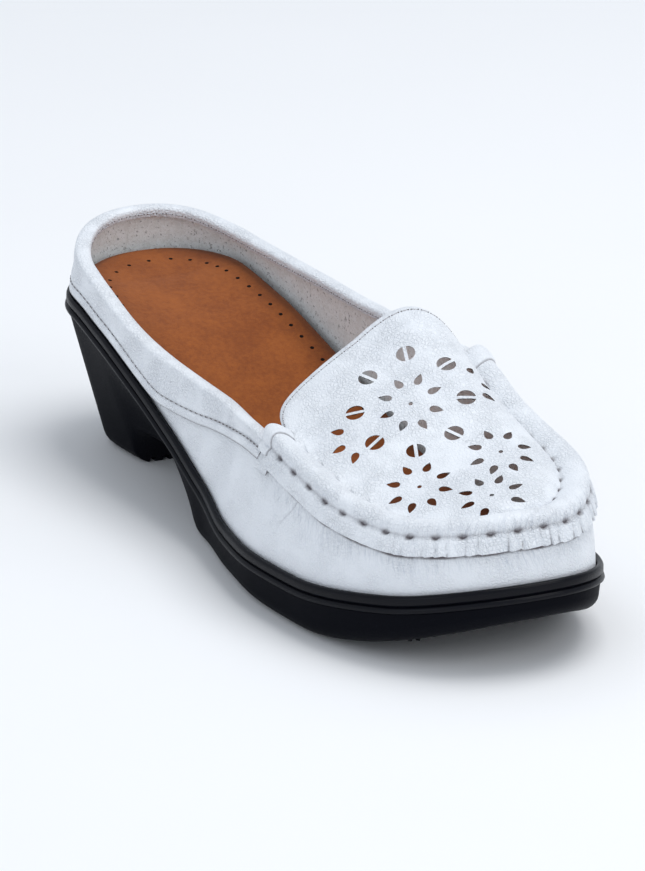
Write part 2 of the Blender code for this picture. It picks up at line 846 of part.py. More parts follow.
def surface_tree(grid):
    """Search tree of a grid's surface."""
    columns = len(grid[0])
    points = [point for row in grid for point in row]
    faces = []
    for i in range(len(grid) - 1):
        for j in range(columns - 1):
            a = i * columns + j
            faces.append((a, a + 1, a + 1 + columns, a + columns))
    return BVHTree.FromPolygons(points, faces)


def band_start(side, angle):
    """Height of the band's lower edge, eased where it leaves the rim."""
    edge = table_value(BAND_EDGE, angle_share(angle), side) * COLLAR_HEIGHT
    rim = rim_height(angle) + 2 * GAP
    return (edge + rim + math.hypot(edge - rim, BAND_BLEND)) / 2


def band_section(side, angle):
    """Outer and inner rows of the folded collar band, from its lower edge over the top."""
    low, high = upper_height(side, angle, 0.0), upper_height(side, angle, 1.0)
    start = (band_start(side, angle) - low) / (high - low)
    thick = GAP + BAND_LEATHER
    outer, inner = [], []
    for share in (0.0, 0.3, 0.6, 0.85, 1.0):
        rise = start + (1.0 - start) * share
        out, _ = wall_frame(side, angle, rise)
        point = upper_point(side, angle, rise)
        outer.append(point + out * thick)
        inner.append(point + out * GAP)
    out, up = wall_frame(side, angle, 1.0)
    top = upper_point(side, angle, 1.0)
    back = top - out * LEATHER
    outer += [
        top + out * 0.6 * thick + up * 0.9 * thick,
        top - out * 0.5 * LEATHER + up * 1.15 * thick,
        back - out * 0.6 * thick + up * 0.9 * thick,
        back - out * thick,
        back - out * thick - up * BAND_TURN,
    ]
    inner += [
        top + out * GAP + up * GAP,
        top - out * 0.5 * LEATHER + up * GAP,
        back - out * GAP + up * GAP,
        back - out * GAP,
        back - out * GAP - up * BAND_TURN,
    ]
    return outer, inner


def make_collar_band(collection):
    """Folded strip that binds the collar from keeper to keeper."""
    last = share_angle(PLUG_START - 2 * GAP / LENGTH)
    angles = [angle for angle in ANGLES if angle < last - 0.01] + [last]
    sections = [band_section(LATERAL, angle) for angle in reversed(angles)]
    sections += [band_section(MEDIAL, angle) for angle in angles[1:]]
    bm = bmesh.new()
    paired_shell(bm, [outer for outer, _ in sections], [inner for _, inner in sections])
    return finish("collar_band", bm, (0.80, 0.84, 0.89), 0.42, collection)


def offset_path(path, out, distance):
    """Path moved off its own side, within the upright plane that holds it."""
    moved = []
    for i, point in enumerate(path):
        tangent = path[min(i + 1, len(path) - 1)] - path[max(i - 1, 0)]
        normal = out * tangent.z - Vector((0.0, 0.0, 1.0)) * tangent.dot(out)
        moved.append(point + normal.normalized() * distance)
    return moved


def make_keeper(name, side, collection):
    """Small strap wrapped over the end of the roll."""
    first = share_angle(PLUG_START)
    half = KEEPER_WIDTH / LENGTH / math.sin(first)
    outer, inner = [], []
    for turn in KEEPER_ROWS:
        angle = first + half * turn
        flat = plan_normal(side, angle)
        out = Vector((flat.x, flat.y, 0.0))
        section, _ = plug_section(side, angle)
        path = [section[1], *section[3:-1]]
        inner.append(offset_path(path, out, KEEPER_CLEARANCE))
        outer.append(offset_path(path, out, KEEPER_CLEARANCE + KEEPER_LEATHER))
    bm = bmesh.new()
    paired_shell(bm, outer, inner)
    return finish(name, bm, (0.82, 0.86, 0.91), 0.42, collection)


def clear_scene():
    """Remove what the file holds before the shoe is built."""
    for obj in list(bpy.data.objects):
        bpy.data.objects.remove(obj, do_unlink=True)
    for collection in list(bpy.data.collections):
        bpy.data.collections.remove(collection)


def main():
    """Build the shoe with its origin under the middle of its box."""
    clear_scene()
    shoe = bpy.data.collections.new("wedge_slip_on")
    cutters = bpy.data.collections.new("cutters")
    bpy.context.scene.collection.children.link(shoe)
    bpy.context.scene.collection.children.link(cutters)
    parts = [
        make_sole(shoe, cutters),
        make_insole(shoe),
        make_upper(shoe),
        make_plug(shoe, cutters),
        make_collar_band(shoe),
        make_keeper("keeper_lateral", LATERAL, shoe),
        make_keeper("keeper_medial", MEDIAL, shoe),
    ]
    rim = [point for row in sole_sections() for point in section_loop(row)]
    middle_y = (min(point.y for point in rim) + max(point.y for point in rim)) / 2
    origin = bpy.data.objects.new("shoe_origin", None)
    shoe.objects.link(origin)
    origin.location = (-LENGTH / 2, -middle_y, 0.0)
    for obj in parts + list(cutters.objects):
        obj.parent = origin


main()
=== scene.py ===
"""Looks of a right-foot wedge slip-on shoe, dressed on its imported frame.

The pieces are worked out in the shoe's own axes, in metres: +X from the heel to the toe with
X = 0 at the back of the heel, +Y to the inner (medial) side, and Z = 0 on the floor.
Shoe.place moves each finished mesh onto the frame.
"""

import logging
import math
import random
from bisect import bisect_right
from collections.abc import Callable, Iterable, Sequence
from dataclasses import dataclass, field
from enum import Enum
from typing import NamedTuple

import bmesh
import bpy
from mathutils import Matrix, Vector
from mathutils.bvhtree import BVHTree

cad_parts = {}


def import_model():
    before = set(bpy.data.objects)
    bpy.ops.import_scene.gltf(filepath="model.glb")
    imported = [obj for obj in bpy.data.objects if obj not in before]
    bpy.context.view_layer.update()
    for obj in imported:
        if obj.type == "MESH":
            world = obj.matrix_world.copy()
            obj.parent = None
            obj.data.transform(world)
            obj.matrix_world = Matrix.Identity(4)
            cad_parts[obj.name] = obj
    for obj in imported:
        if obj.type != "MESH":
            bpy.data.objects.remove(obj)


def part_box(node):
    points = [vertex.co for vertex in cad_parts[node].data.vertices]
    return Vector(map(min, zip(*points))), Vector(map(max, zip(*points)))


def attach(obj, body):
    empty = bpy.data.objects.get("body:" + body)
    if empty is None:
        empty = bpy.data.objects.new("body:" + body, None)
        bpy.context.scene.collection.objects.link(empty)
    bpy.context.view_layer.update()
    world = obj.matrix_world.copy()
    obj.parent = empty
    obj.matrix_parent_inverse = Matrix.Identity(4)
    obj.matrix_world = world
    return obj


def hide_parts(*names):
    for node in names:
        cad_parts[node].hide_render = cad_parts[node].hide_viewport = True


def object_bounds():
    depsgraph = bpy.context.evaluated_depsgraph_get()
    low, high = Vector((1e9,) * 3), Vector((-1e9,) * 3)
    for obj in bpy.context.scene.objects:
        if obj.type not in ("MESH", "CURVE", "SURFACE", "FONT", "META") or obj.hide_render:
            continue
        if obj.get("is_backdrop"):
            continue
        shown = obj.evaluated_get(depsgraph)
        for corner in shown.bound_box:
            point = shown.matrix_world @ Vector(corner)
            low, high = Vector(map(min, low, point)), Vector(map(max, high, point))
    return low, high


LOG = logging.getLogger("shoe")
BODY = "root"
CREASE = "crease"
GATHER = "gather"
MM = 0.001
MERGE = 1e-6
UP = Vector((0.0, 0.0, 1.0))


class Side(Enum):
    """The two sides of the shoe; the value is the sign of Y."""

    LATERAL = -1
    MEDIAL = 1


class Slot(Enum):
    """Material slots of the record."""

    LEATHER = "white_leather"
    FOOTBED = "footbed"
    SOLE = "sole"


class Row(NamedTuple):
    """One row of a table: a value for each side at a share of the way along."""

    along: float
    lateral: float
    medial: float


class Curve:
    """Smooth curve through the rows of a table, with no overshoot between them."""

    def __init__(self, *rows: tuple[float, float, float]) -> None:
        """Work out the tangents of both columns.

        Args:
            rows: Share along, lateral value and medial value of each row.
        """
        table = [Row(*row) for row in rows]
        self.along = [row.along for row in table]
        self.values = {
            Side.LATERAL: [row.lateral for row in table],
            Side.MEDIAL: [row.medial for row in table],
        }
        self.tangents = {side: self._tangents(values) for side, values in self.values.items()}

    def _tangents(self, values: list[float]) -> list[float]:
        """Tangent at each row: the harmonic mean of the slopes beside it.

        Args:
            values: One column of the table.

        Returns:
            A tangent for each row.
        """
        steps = zip(zip(self.along, self.along[1:]), zip(values, values[1:]))
        slopes = [(after - before) / (far - near) for (near, far), (before, after) in steps]
        inner = [
            0.0 if first * second <= 0 else 2 * first * second / (first + second)
            for first, second in zip(slopes, slopes[1:])
        ]
        return [slopes[0], *inner, slopes[-1]]

    def at(self, share: float, side: Side) -> float:
        """Value of one side's column.

        Args:
            share: Place along the table.
            side: Column to read.

        Returns:
            The interpolated value.
        """
        xs, ys, tangents = self.along, self.values[side], self.tangents[side]
        if share <= xs[0]:
            return ys[0]
        if share >= xs[-1]:
            return ys[-1]
        k = bisect_right(xs, share) - 1
        step = xs[k + 1] - xs[k]
        t = (share - xs[k]) / step
        return (
            (2 * t**3 - 3 * t**2 + 1) * ys[k]
            + (t**3 - 2 * t**2 + t) * step * tangents[k]
            + (3 * t**2 - 2 * t**3) * ys[k + 1]
            + (t**3 - t**2) * step * tangents[k + 1]
        )


def bump_at(distance: float, width: float) -> float:
    """Soft bell of height 1 at no distance, falling away over a width."""
    return math.exp(-((distance / width) ** 2))


def smooth_step(value: float, low: float, high: float) -> float:
    """Smooth rise from 0 at low to 1 at high."""
    t = min(1.0, max(0.0, (value - low) / (high - low)))
    return t * t * (3.0 - 2.0 * t)


def share_angle(share: float) -> float:
    """Station angle of a share of the length; equal angles crowd the heel and the toe."""
    return math.acos(1.0 - 2.0 * share)


@dataclass(frozen=True)
class Station:
    """Upright section of one side of the shoe."""

    side: Side
    share: float
    flat: Vector
    out: Vector
    rim: float
    low: float
    high: float
    base_inset: float
    top_inset: float
    from_toe: float
    curve: float

    def inset_at(self, rise: float) -> float:
        """Inset of the upper's wall at a share of the way up."""
        return self.base_inset + (self.top_inset - self.base_inset) * max(0.0, rise) ** self.curve

    def wall(self, rise: float, lift: float = 0.0) -> Vector:
        """Point on the upper's outer face, or off it by a lift.

        Args:
            rise: Share of the way up the wall.
            lift: Distance off the wall, along its outward normal.

        Returns:
            The point, in the shoe's axes.
        """
        point = self.flat - self.out * self.inset_at(rise)
        point.z = self.low + (self.high - self.low) * rise
        return point + self.normal(rise) * lift if lift else point

    def slope(self, rise: float) -> float:
        """How fast the inset grows with the share of the way up."""
        return (self.top_inset - self.base_inset) * self.curve * max(0.0, rise) ** (self.curve - 1)

    def tangent(self, rise: float) -> Vector:
        """Upward tangent of the wall."""
        return (UP * (self.high - self.low) - self.out * self.slope(rise)).normalized()

    def normal(self, rise: float) -> Vector:
        """Outward normal of the wall."""
        return (self.out * (self.high - self.low) + UP * self.slope(rise)).normalized()

    def height(self) -> float:
        """Length of the wall from its foot to its top edge."""
        return (self.wall(1.0) - self.wall(0.0)).length


@dataclass
class Last:
    """Form of the shoe: its driving sizes, and tables of shares of them."""

    length: float = 0.248
    ball_width: float = 0.088
    heel_height: float = 0.049
    collar_height: float = 0.060
    instep_height: float = 0.060
    toe_spring: float = 0.0150
    toe_shift: float = 0.0075
    heel_round: float = 0.030
    toe_round: float = 0.048
    gap: float = 0.0003
    leather: float = 0.0020
    lip_width: float = 0.0024
    cup_depth: float = 0.0030
    heel_breast: float = 0.0460
    breast_fillet: float = 0.0070
    arch_height: float = 0.0130
    arch_end: float = 0.1140
    plug_start: float = 0.630
    shift_start: float = 0.55
    spring_start: float = 0.75
    spring_power: float = 1.8
    wall_curve: float = 1.8
    heel_power: float = 2.2
    toe_power: float = 2.3
    samples: int = 700

    outline = Curve(
        (0.00, 0.332, 0.327),
        (0.12, 0.386, 0.346),
        (0.25, 0.408, 0.381),
        (0.37, 0.410, 0.415),
        (0.47, 0.422, 0.438),
        (0.57, 0.478, 0.461),
        (0.67, 0.515, 0.481),
        (0.77, 0.498, 0.488),
        (0.87, 0.438, 0.468),
        (1.00, 0.364, 0.426),
    )
    rim = Curve(
        (0.00, 0.986, 0.986),
        (0.10, 0.990, 0.990),
        (0.20, 0.915, 0.915),
        (0.30, 0.766, 0.766),
        (0.40, 0.579, 0.579),
        (0.50, 0.400, 0.400),
        (0.60, 0.330, 0.330),
        (0.75, 0.338, 0.338),
        (0.90, 0.424, 0.424),
        (1.00, 0.552, 0.552),
    )
    undercut = Curve(
        (0.00, 0.142, 0.142),
        (0.10, 0.148, 0.148),
        (0.18, 0.175, 0.175),
        (0.26, 0.270, 0.250),
        (0.33, 0.262, 0.275),
        (0.40, 0.105, 0.210),
        (0.46, 0.040, 0.150),
        (0.52, 0.032, 0.076),
        (0.60, 0.032, 0.036),
        (1.00, 0.032, 0.032),
    )
    top_edge = Curve(
        (0.00, 1.090, 1.090),
        (0.08, 1.015, 1.025),
        (0.18, 0.928, 0.990),
        (0.28, 0.828, 0.970),
        (0.38, 0.768, 0.950),
        (0.50, 0.738, 0.955),
        (0.60, 0.745, 0.975),
        (0.65, 0.735, 0.925),
        (0.72, 0.695, 0.810),
        (0.80, 0.635, 0.745),
        (0.90, 0.605, 0.715),
        (0.96, 0.640, 0.700),
        (1.00, 0.680, 0.680),
    )
    top_inset = Curve(
        (0.00, 0.048, 0.048),
        (0.08, 0.060, 0.060),
        (0.18, 0.052, 0.048),
        (0.28, 0.052, 0.046),
        (0.38, 0.070, 0.048),
        (0.50, 0.105, 0.058),
        (0.60, 0.120, 0.070),
        (0.72, 0.103, 0.066),
        (0.85, 0.090, 0.060),
        (1.00, 0.070, 0.070),
    )
    band_edge = Curve(
        (0.00, 0.500, 0.500),
        (0.35, 0.566, 0.560),
        (0.44, 0.582, 0.575),
        (0.57, 0.648, 0.660),
        (0.65, 0.665, 0.700),
    )
    crest = Curve(
        (0.00, 0.225, 0.225),
        (0.15, 0.200, 0.200),
        (0.35, 0.120, 0.120),
        (0.60, 0.070, 0.070),
        (0.85, 0.030, 0.030),
        (1.00, 0.000, 0.000),
    )

    def __post_init__(self) -> None:
        """Measure the plan outline of both sides, so that stations can be set by arc length."""
        self.arcs = {side: self._measure(side) for side in Side}

    def _measure(self, side: Side) -> tuple[list[float], list[float]]:
        """Arc length of one side's outline.

        Args:
            side: Side of the shoe.

        Returns:
            Station angles, and the arc length from the heel at each.
        """
        angles = [math.pi * i / self.samples for i in range(self.samples + 1)]
        points = [self.plan_point(side, angle) for angle in angles]
        lengths = [0.0]
        for before, after in zip(points, points[1:]):
            lengths.append(lengths[-1] + (after - before).length)
        return angles, lengths

    def rounding(self, share: float) -> float:
        """Superellipse that closes the outline at the heel and the toe."""
        x = share * self.length
        if x < self.heel_round:
            reach = (self.heel_round - x) / self.heel_round
            return (1.0 - reach**self.heel_power) ** (1 / self.heel_power)
        if x > self.length - self.toe_round:
            reach = min(1.0, (x - self.length + self.toe_round) / self.toe_round)
            return (1.0 - reach**self.toe_power) ** (1 / self.toe_power)
        return 1.0

    def plan_point(self, side: Side, angle: float) -> Vector:
        """Point of the rim's plan outline.

        Args:
            side: Side of the shoe.
            angle: Station angle.

        Returns:
            The point, at no height.
        """
        share = (1.0 - math.cos(angle)) / 2.0
        sign = side.value
        past = max(0.0, (share - self.shift_start) / (1.0 - self.shift_start))
        shift = self.toe_shift * past**2
        half = self.outline.at(share, side) * self.ball_width
        y = shift + sign * (half - sign * shift) * self.rounding(share)
        return Vector((share * self.length, y, 0.0))

    def plan_normal(self, side: Side, angle: float) -> Vector:
        """Outward normal of the plan outline."""
        step = 0.002
        if angle < step:
            return Vector((-1.0, 0.0, 0.0))
        if angle > math.pi - step:
            return Vector((1.0, 0.0, 0.0))
        along = self.plan_point(side, angle + step) - self.plan_point(side, angle - step)
        return Vector((-side.value * along.y, side.value * along.x, 0.0)).normalized()

    def rim_height(self, share: float) -> float:
        """Top of the sole's rim."""
        return self.rim.at(share, Side.LATERAL) * self.heel_height

    def base_height(self, share: float) -> float:
        """Underside of the sole: flat heel base, arch, flat forefoot and toe spring."""
        x = share * self.length
        if x <= self.heel_breast:
            return 0.0
        if x < self.arch_end:
            rise = min(1.0, (x - self.heel_breast) / self.breast_fillet)
            fall = (self.arch_end - x) / (self.arch_end - self.heel_breast)
            return self.arch_height * math.sin(rise * math.pi / 2) ** 0.7 * fall**1.35
        lift = max(0.0, (share - self.spring_start) / (1.0 - self.spring_start))
        return self.toe_spring * lift**self.spring_power

    def station(self, side: Side, angle: float) -> Station:
        """Section of one side at a station angle.

        Args:
            side: Side of the shoe.
            angle: Station angle, 0 at the heel and pi at the toe.

        Returns:
            The section with its heights and insets.
        """
        angle = min(math.pi, max(0.0, angle))
        share = (1.0 - math.cos(angle)) / 2.0
        rim = self.rim_height(share)
        return Station(
            side=side,
            share=share,
            flat=self.plan_point(side, angle),
            out=self.plan_normal(side, angle),
            rim=rim,
            low=rim - self.cup_depth + self.gap,
            high=self.top_edge.at(share, side) * self.collar_height,
            base_inset=self.lip_width + self.gap,
            top_inset=self.top_inset.at(share, side) * self.ball_width,
            from_toe=-side.value * self.toe_distance(side, angle),
            curve=self.wall_curve,
        )

    def toe_distance(self, side: Side, angle: float) -> float:
        """Arc length from a station to the toe's tip."""
        lengths = self.arcs[side][1]
        place = angle / math.pi * self.samples
        k = min(self.samples - 1, int(place))
        return lengths[-1] - (lengths[k] + (lengths[k + 1] - lengths[k]) * (place - k))

    def angle_at(self, side: Side, length: float) -> float:
        """Station angle at an arc length from the heel."""
        angles, lengths = self.arcs[side]
        k = min(len(lengths) - 2, max(0, bisect_right(lengths, length) - 1))
        share = (length - lengths[k]) / (lengths[k + 1] - lengths[k])
        return angles[k] + (angles[k + 1] - angles[k]) * share

    def walk(
        self, side: Side, start: float, end: float, pitch: Callable[[float], float]
    ) -> list[float]:
        """Station angles between two shares of the length, spaced by arc length.

        Args:
            side: Side whose outline is walked.
            start: First share.
            end: Last share.
            pitch: Spacing as a function of the distance to the toe.

        Returns:
            Rising station angles, with both ends.
        """
        first, last = share_angle(start), share_angle(end)
        total = self.arcs[side][1][-1]
        place, finish = (total - self.toe_distance(side, angle) for angle in (first, last))
        places = [place]
        while place < finish:
            place += pitch(total - place)
            places.append(place)
        stretch = (finish - places[0]) / (places[-1] - places[0])
        inner = [self.angle_at(side, places[0] + (p - places[0]) * stretch) for p in places[1:-1]]
        return [first, *inner, last]

    def sole_inset(self, side: Side, share: float, height: float) -> float:
        """Inset of the sole's wall at a height."""
        top = self.rim_height(share) - SoleUnit.lip_height - SoleUnit.bead_height
        ground = self.undercut.at(share, side) * self.ball_width
        step = SoleUnit.band_step
        return step + (ground - step) * (top - height) / top


class Value:
    """Socket of a number or colour in a material; Python's arithmetic on it adds Math nodes."""

    def __init__(self, graph: "Graph", socket: bpy.types.NodeSocket) -> None:
        """Wrap a socket of a graph."""
        self.graph = graph
        self.socket = socket

    def _math(self, operation: str, *terms: "Value | float") -> "Value":
        """Add a Math node over the terms."""
        inputs = dict(enumerate(terms))
        return self.graph.node("ShaderNodeMath", {"operation": operation}, inputs)

    def __add__(self, other: "Value | float") -> "Value":
        """Sum."""
        return self._math("ADD", self, other)

    __radd__ = __add__

    def __sub__(self, other: "Value | float") -> "Value":
        """Difference."""
        return self._math("SUBTRACT", self, other)

    def __rsub__(self, other: float) -> "Value":
        """Number less this value."""
        return self._math("SUBTRACT", other, self)

    def __mul__(self, other: "Value | float") -> "Value":
        """Product."""
        return self._math("MULTIPLY", self, other)

    __rmul__ = __mul__

    def distance(self) -> "Value":
        """Size without the sign."""
        return self._math("ABSOLUTE", self)

    def above(self, low: float, high: float) -> "Value":
        """Smooth rise from 0 at low to 1 at high."""
        settings = {"interpolation_type": "SMOOTHSTEP", "clamp": True}
        inputs = {"Value": self, "From Min": low, "From Max": high}
        return self.graph.node("ShaderNodeMapRange", settings, inputs)


class Graph:
    """Node tree of one material."""

    def __init__(self, name: str) -> None:
        """Start a material with a Principled shader.

        Args:
            name: Name of the material.
        """
        self.material = bpy.data.materials.new(name)
        self.material.use_nodes = True
        self.tree = self.material.node_tree
        self.shader = next(n for n in self.tree.nodes if n.type == "BSDF_PRINCIPLED")
        self.coordinates = self.node("ShaderNodeTexCoord", {}, {}, "Object")

    def node(
        self,
        kind: str,
        settings: dict[str, object],
        inputs: dict[str | int, "Value | float | tuple"],
        output: str | int = 0,
    ) -> Value:
        """Add a node, set it up, then feed its sockets.

        Args:
            kind: Node type.
            settings: Properties of the node.
            inputs: Value or link of each named or numbered socket.
            output: Socket that is handed back.

        Returns:
            The wrapped output socket.
        """
        node = self.tree.nodes.new(kind)
        for name, setting in settings.items():
            setattr(node, name, setting)
        for name, value in inputs.items():
            self.feed(node.inputs[name], value)
        return Value(self, node.outputs[output])

    def feed(self, socket: bpy.types.NodeSocket, value: "Value | float | tuple") -> None:
        """Link a value to a socket, or set the socket's own value."""
        if isinstance(value, Value):
            self.tree.links.new(value.socket, socket)
        else:
            socket.default_value = value

    def set(self, **inputs: "Value | float | tuple") -> None:
        """Feed the shader's sockets, named in lower case with underscores."""
        sockets = {socket.name.lower(): socket for socket in self.shader.inputs}
        for name, value in inputs.items():
            self.feed(sockets[name.replace("_", " ")], value)

    def noise(self, scale: float, detail: float = 3.0, rough: float = 0.55, at: Value | None = None) -> Value:
        """Noise in object space.

        Args:
            scale: Cells per metre.
            detail: Octaves.
            rough: How strong the finer octaves are.
            at: Coordinates, or the object's own.

        Returns:
            A value about 0.5.
        """
        inputs = {"Vector": at or self.coordinates, "Scale": scale, "Detail": detail, "Roughness": rough}
        return self.node("ShaderNodeTexNoise", {}, inputs)

    def cells(self, scale: float, feature: str, at: Value | None = None) -> Value:
        """Distance of a Voronoi pattern in object space."""
        inputs = {"Vector": at or self.coordinates, "Scale": scale}
        return self.node("ShaderNodeTexVoronoi", {"feature": feature}, inputs, "Distance")

    def warped(self, scale: float, reach: float) -> Value:
        """Object coordinates pushed about by noise."""
        inputs = {"Vector": self.coordinates, "Scale": scale, "Detail": 2.0}
        push = self.node("ShaderNodeTexNoise", {}, inputs, "Color")
        scaled = self.node("ShaderNodeVectorMath", {"operation": "SCALE"}, {0: push, "Scale": reach})
        return self.node("ShaderNodeVectorMath", {"operation": "ADD"}, {0: self.coordinates, 1: scaled})

    def stretched(self, scale: tuple[float, float, float]) -> Value:
        """Object coordinates scaled unevenly."""
        return self.node("ShaderNodeMapping", {}, {"Vector": self.coordinates, "Scale": scale})

    def attribute(self, name: str) -> Value:
        """Number stored on the mesh."""
        return self.node("ShaderNodeAttribute", {"attribute_name": name}, {}, "Fac")

    def vector(self, name: str) -> tuple[Value, Value, Value]:
        """The three parts of a vector stored on the mesh."""
        stored = self.node("ShaderNodeAttribute", {"attribute_name": name}, {}, "Vector")
        parts = self.node("ShaderNodeSeparateXYZ", {}, {0: stored}).socket.node
        return tuple(Value(self, output) for output in parts.outputs)

    def point(self, *parts: "Value | float") -> Value:
        """Coordinates put together from their parts."""
        return self.node("ShaderNodeCombineXYZ", {}, dict(enumerate(parts)))

    def mix(self, share: Value, low: "Value | tuple", high: "Value | tuple") -> Value:
        """Blend two colours by a share."""
        settings = {"data_type": "RGBA", "clamp_factor": True}
        inputs = {0: share, 6: low, 7: high}
        return self.node("ShaderNodeMix", settings, inputs, 2)

    def relief(self, height: Value, depth: float, strength: float = 1.0, under: Value | None = None) -> Value:
        """Bump from a height.

        Args:
            height: Height from 0 to 1.
            depth: Real height in metres.
            strength: Share of the bump that is used.
            under: Normal that this one is laid over.

        Returns:
            The new normal.
        """
        inputs: dict[str | int, Value | float] = {
            "Height": height,
            "Distance": depth,
            "Strength": strength,
        }
        if under is not None:
            inputs["Normal"] = under
        return self.node("ShaderNodeBump", {}, inputs)


def opaque(colour: tuple[float, float, float]) -> tuple[float, float, float, float]:
    """Colour with full alpha."""
    return (*colour, 1.0)


@dataclass(frozen=True)
class TumbledLeather:
    """White leather with a pebbled grain; painted shade darkens its grain, wrinkles, folds and seams, and a
    dirt line runs along the upper's foot.
    """

    name: str = "tumbled_leather"
    colour: tuple[float, float, float] = (0.84, 0.865, 0.90)
    # Colour of the painted shade in the grain's valleys and wrinkles, also used for faint random clouding.
    shade_and_cloud: tuple[float, float, float] = (0.50, 0.545, 0.62)
    # Colour of the painted shade in folds, seams, stitch pits and under edges, and of the dirt line at the
    # upper's foot.
    grime_and_shade: tuple[float, float, float] = (0.15, 0.13, 0.14)
    pebble: float = 860.0
    depth: float = 0.00042
    grain: float = 1.0
    wrinkle: float = 0.0009
    roughness: float = 0.44

    def material(self) -> bpy.types.Material:
        """Build the material."""
        graph = Graph(self.name)
        moved = graph.warped(260.0, 0.0016)
        pebbles = graph.cells(self.pebble, "DISTANCE_TO_EDGE", moved)
        edges = pebbles.above(0.0, 0.24)
        small = graph.cells(self.pebble * 2.1, "DISTANCE_TO_EDGE", moved).above(0.0, 0.30)
        patches = graph.noise(95.0, 3.0).above(0.30, 0.62)
        fine = graph.noise(5200.0, 4.0, 0.62)
        broad = graph.noise(38.0, 3.0)
        height = (edges * 0.62 + small * 0.26) * (patches * 0.7 + 0.3) * self.grain + fine * 0.03
        folds, lines = self.hairlines(graph)
        fold = graph.attribute(CREASE)
        # Painted shade: the grain's valleys between the pebbles are darkened.
        valley_shade = (1.0 - pebbles.above(0.0, 0.13)) * (patches * 0.75 + 0.25) * (0.27 * self.grain)
        soft = graph.mix(valley_shade, opaque(self.colour), opaque(self.shade_and_cloud))
        cloudy = graph.mix(broad.above(0.40, 0.75) * 0.10 + lines * 0.62, soft, opaque(self.shade_and_cloud))
        # Darkening from the crease attribute: mostly painted shade, plus the dirt line at the upper's foot;
        # noise makes it uneven.
        painted_darkening = fold * (0.75 + 0.5 * graph.noise(900.0, 3.0))
        graph.set(
            base_color=graph.mix(painted_darkening.above(0.05, 1.10), cloudy, opaque(self.grime_and_shade)),
            roughness=self.roughness + (1.0 - edges) * 0.10 + fold * 0.25 + (fine - 0.5) * 0.12,
            normal=graph.relief(folds, self.wrinkle, 0.8, graph.relief(height, self.depth, 0.8)),
            coat_weight=0.10,
            coat_roughness=0.30,
            specular_ior_level=0.42,
        )
        return graph.material

    def hairlines(self, graph: Graph) -> tuple[Value, Value]:
        """Fine wrinkles that run away from a gathered seam.

        Args:
            graph: Graph of the material.

        Returns:
            Height of the wrinkles, and the painted shade along their lines.
        """
        along, away, gathered = graph.vector(GATHER)
        bend = graph.noise(90.0, 2.0) * 0.0034 + away * 0.30
        wide = graph.noise(1.0, 2.0, 0.5, graph.point((along + bend) * 560.0, away * 95.0, 0.0))
        thin = graph.noise(1.0, 2.0, 0.55, graph.point((along + bend) * 1350.0, away * 150.0, 7.0))
        folds = (wide * 0.65 + thin * 0.35) * gathered
        # Painted shade along the wrinkles' valleys.
        lines = (1.0 - (wide - 0.5).distance().above(0.0, 0.045)) * 0.5 + (1.0 - thin.above(0.30, 0.42)) * 0.6
        return folds, lines * gathered


@dataclass(frozen=True)
class Suede:
    """Grey flesh side of the leather, with loose fibres and dark flecks."""

    name: str = "grey_suede"
    light: tuple[float, float, float] = (0.97, 0.99, 0.985)
    dark: tuple[float, float, float] = (0.82, 0.83, 0.81)
    fleck: tuple[float, float, float] = (0.10, 0.09, 0.08)

    def material(self) -> bpy.types.Material:
        """Build the material."""
        graph = Graph(self.name)
        moved = graph.warped(420.0, 0.004)
        fibres = graph.noise(1250.0, 6.0, 0.72, moved)
        clumps = graph.noise(330.0, 4.0, 0.62, moved)
        flecks = graph.noise(1050.0, 3.0, 0.6).above(0.57, 0.66) * clumps.above(0.38, 0.56)
        nap = (fibres * 0.62 + clumps * 0.38).above(0.40, 0.58)
        tone = graph.mix(nap, opaque(self.dark), opaque(self.light))
        graph.set(
            base_color=graph.mix(flecks * 0.62, tone, opaque(self.fleck)),
            roughness=0.90 + fibres * 0.10,
            normal=graph.relief(fibres * 0.6 + clumps * 0.6, 0.0006, 0.7),
            sheen_weight=0.45,
            specular_ior_level=0.15,
        )
        return graph.material


@dataclass(frozen=True)
class CutEdge:
    """Raw edge of cut leather."""

    name: str = "cut_edge"
    light: tuple[float, float, float] = (0.40, 0.375, 0.385)
    dark: tuple[float, float, float] = (0.20, 0.18, 0.185)

    def material(self) -> bpy.types.Material:
        """Build the material."""
        graph = Graph(self.name)
        fibres = graph.noise(2600.0, 4.0, 0.7)
        graph.set(
            base_color=graph.mix(fibres.above(0.35, 0.65), opaque(self.dark), opaque(self.light)),
            roughness=0.86 + fibres * 0.1,
            normal=graph.relief(fibres, 0.0003, 0.6),
            specular_ior_level=0.2,
        )
        return graph.material


@dataclass(frozen=True)
class FootbedLeather:
    """Tan nubuck of the footbed, with painted shade along its edge."""

    name: str = "tan_footbed"
    light: tuple[float, float, float] = (0.350, 0.096, 0.014)
    dark: tuple[float, float, float] = (0.210, 0.049, 0.006)
    # Colour of the painted shade along the footbed's edge.
    edge: tuple[float, float, float] = (0.070, 0.022, 0.010)

    def material(self) -> bpy.types.Material:
        """Build the material."""
        graph = Graph(self.name)
        nap = graph.noise(3400.0, 5.0, 0.68)
        cloud = graph.noise(46.0, 4.0, 0.6)
        mottle = graph.noise(620.0, 4.0, 0.62)
        tone = (nap * 0.30 + cloud * 0.42 + mottle * 0.28).above(0.36, 0.64)
        worn = graph.mix(tone, opaque(self.dark), opaque(self.light))
        # Painted shade: the crease attribute darkens the footbed along its edge.
        fold = graph.attribute(CREASE)
        graph.set(
            base_color=graph.mix(fold, worn, opaque(self.edge)),
            roughness=0.74 + nap * 0.16,
            normal=graph.relief(nap * 0.5 + mottle * 0.5, 0.00022, 0.6),
            sheen_weight=0.12,
            specular_ior_level=0.25,
        )
        return graph.material


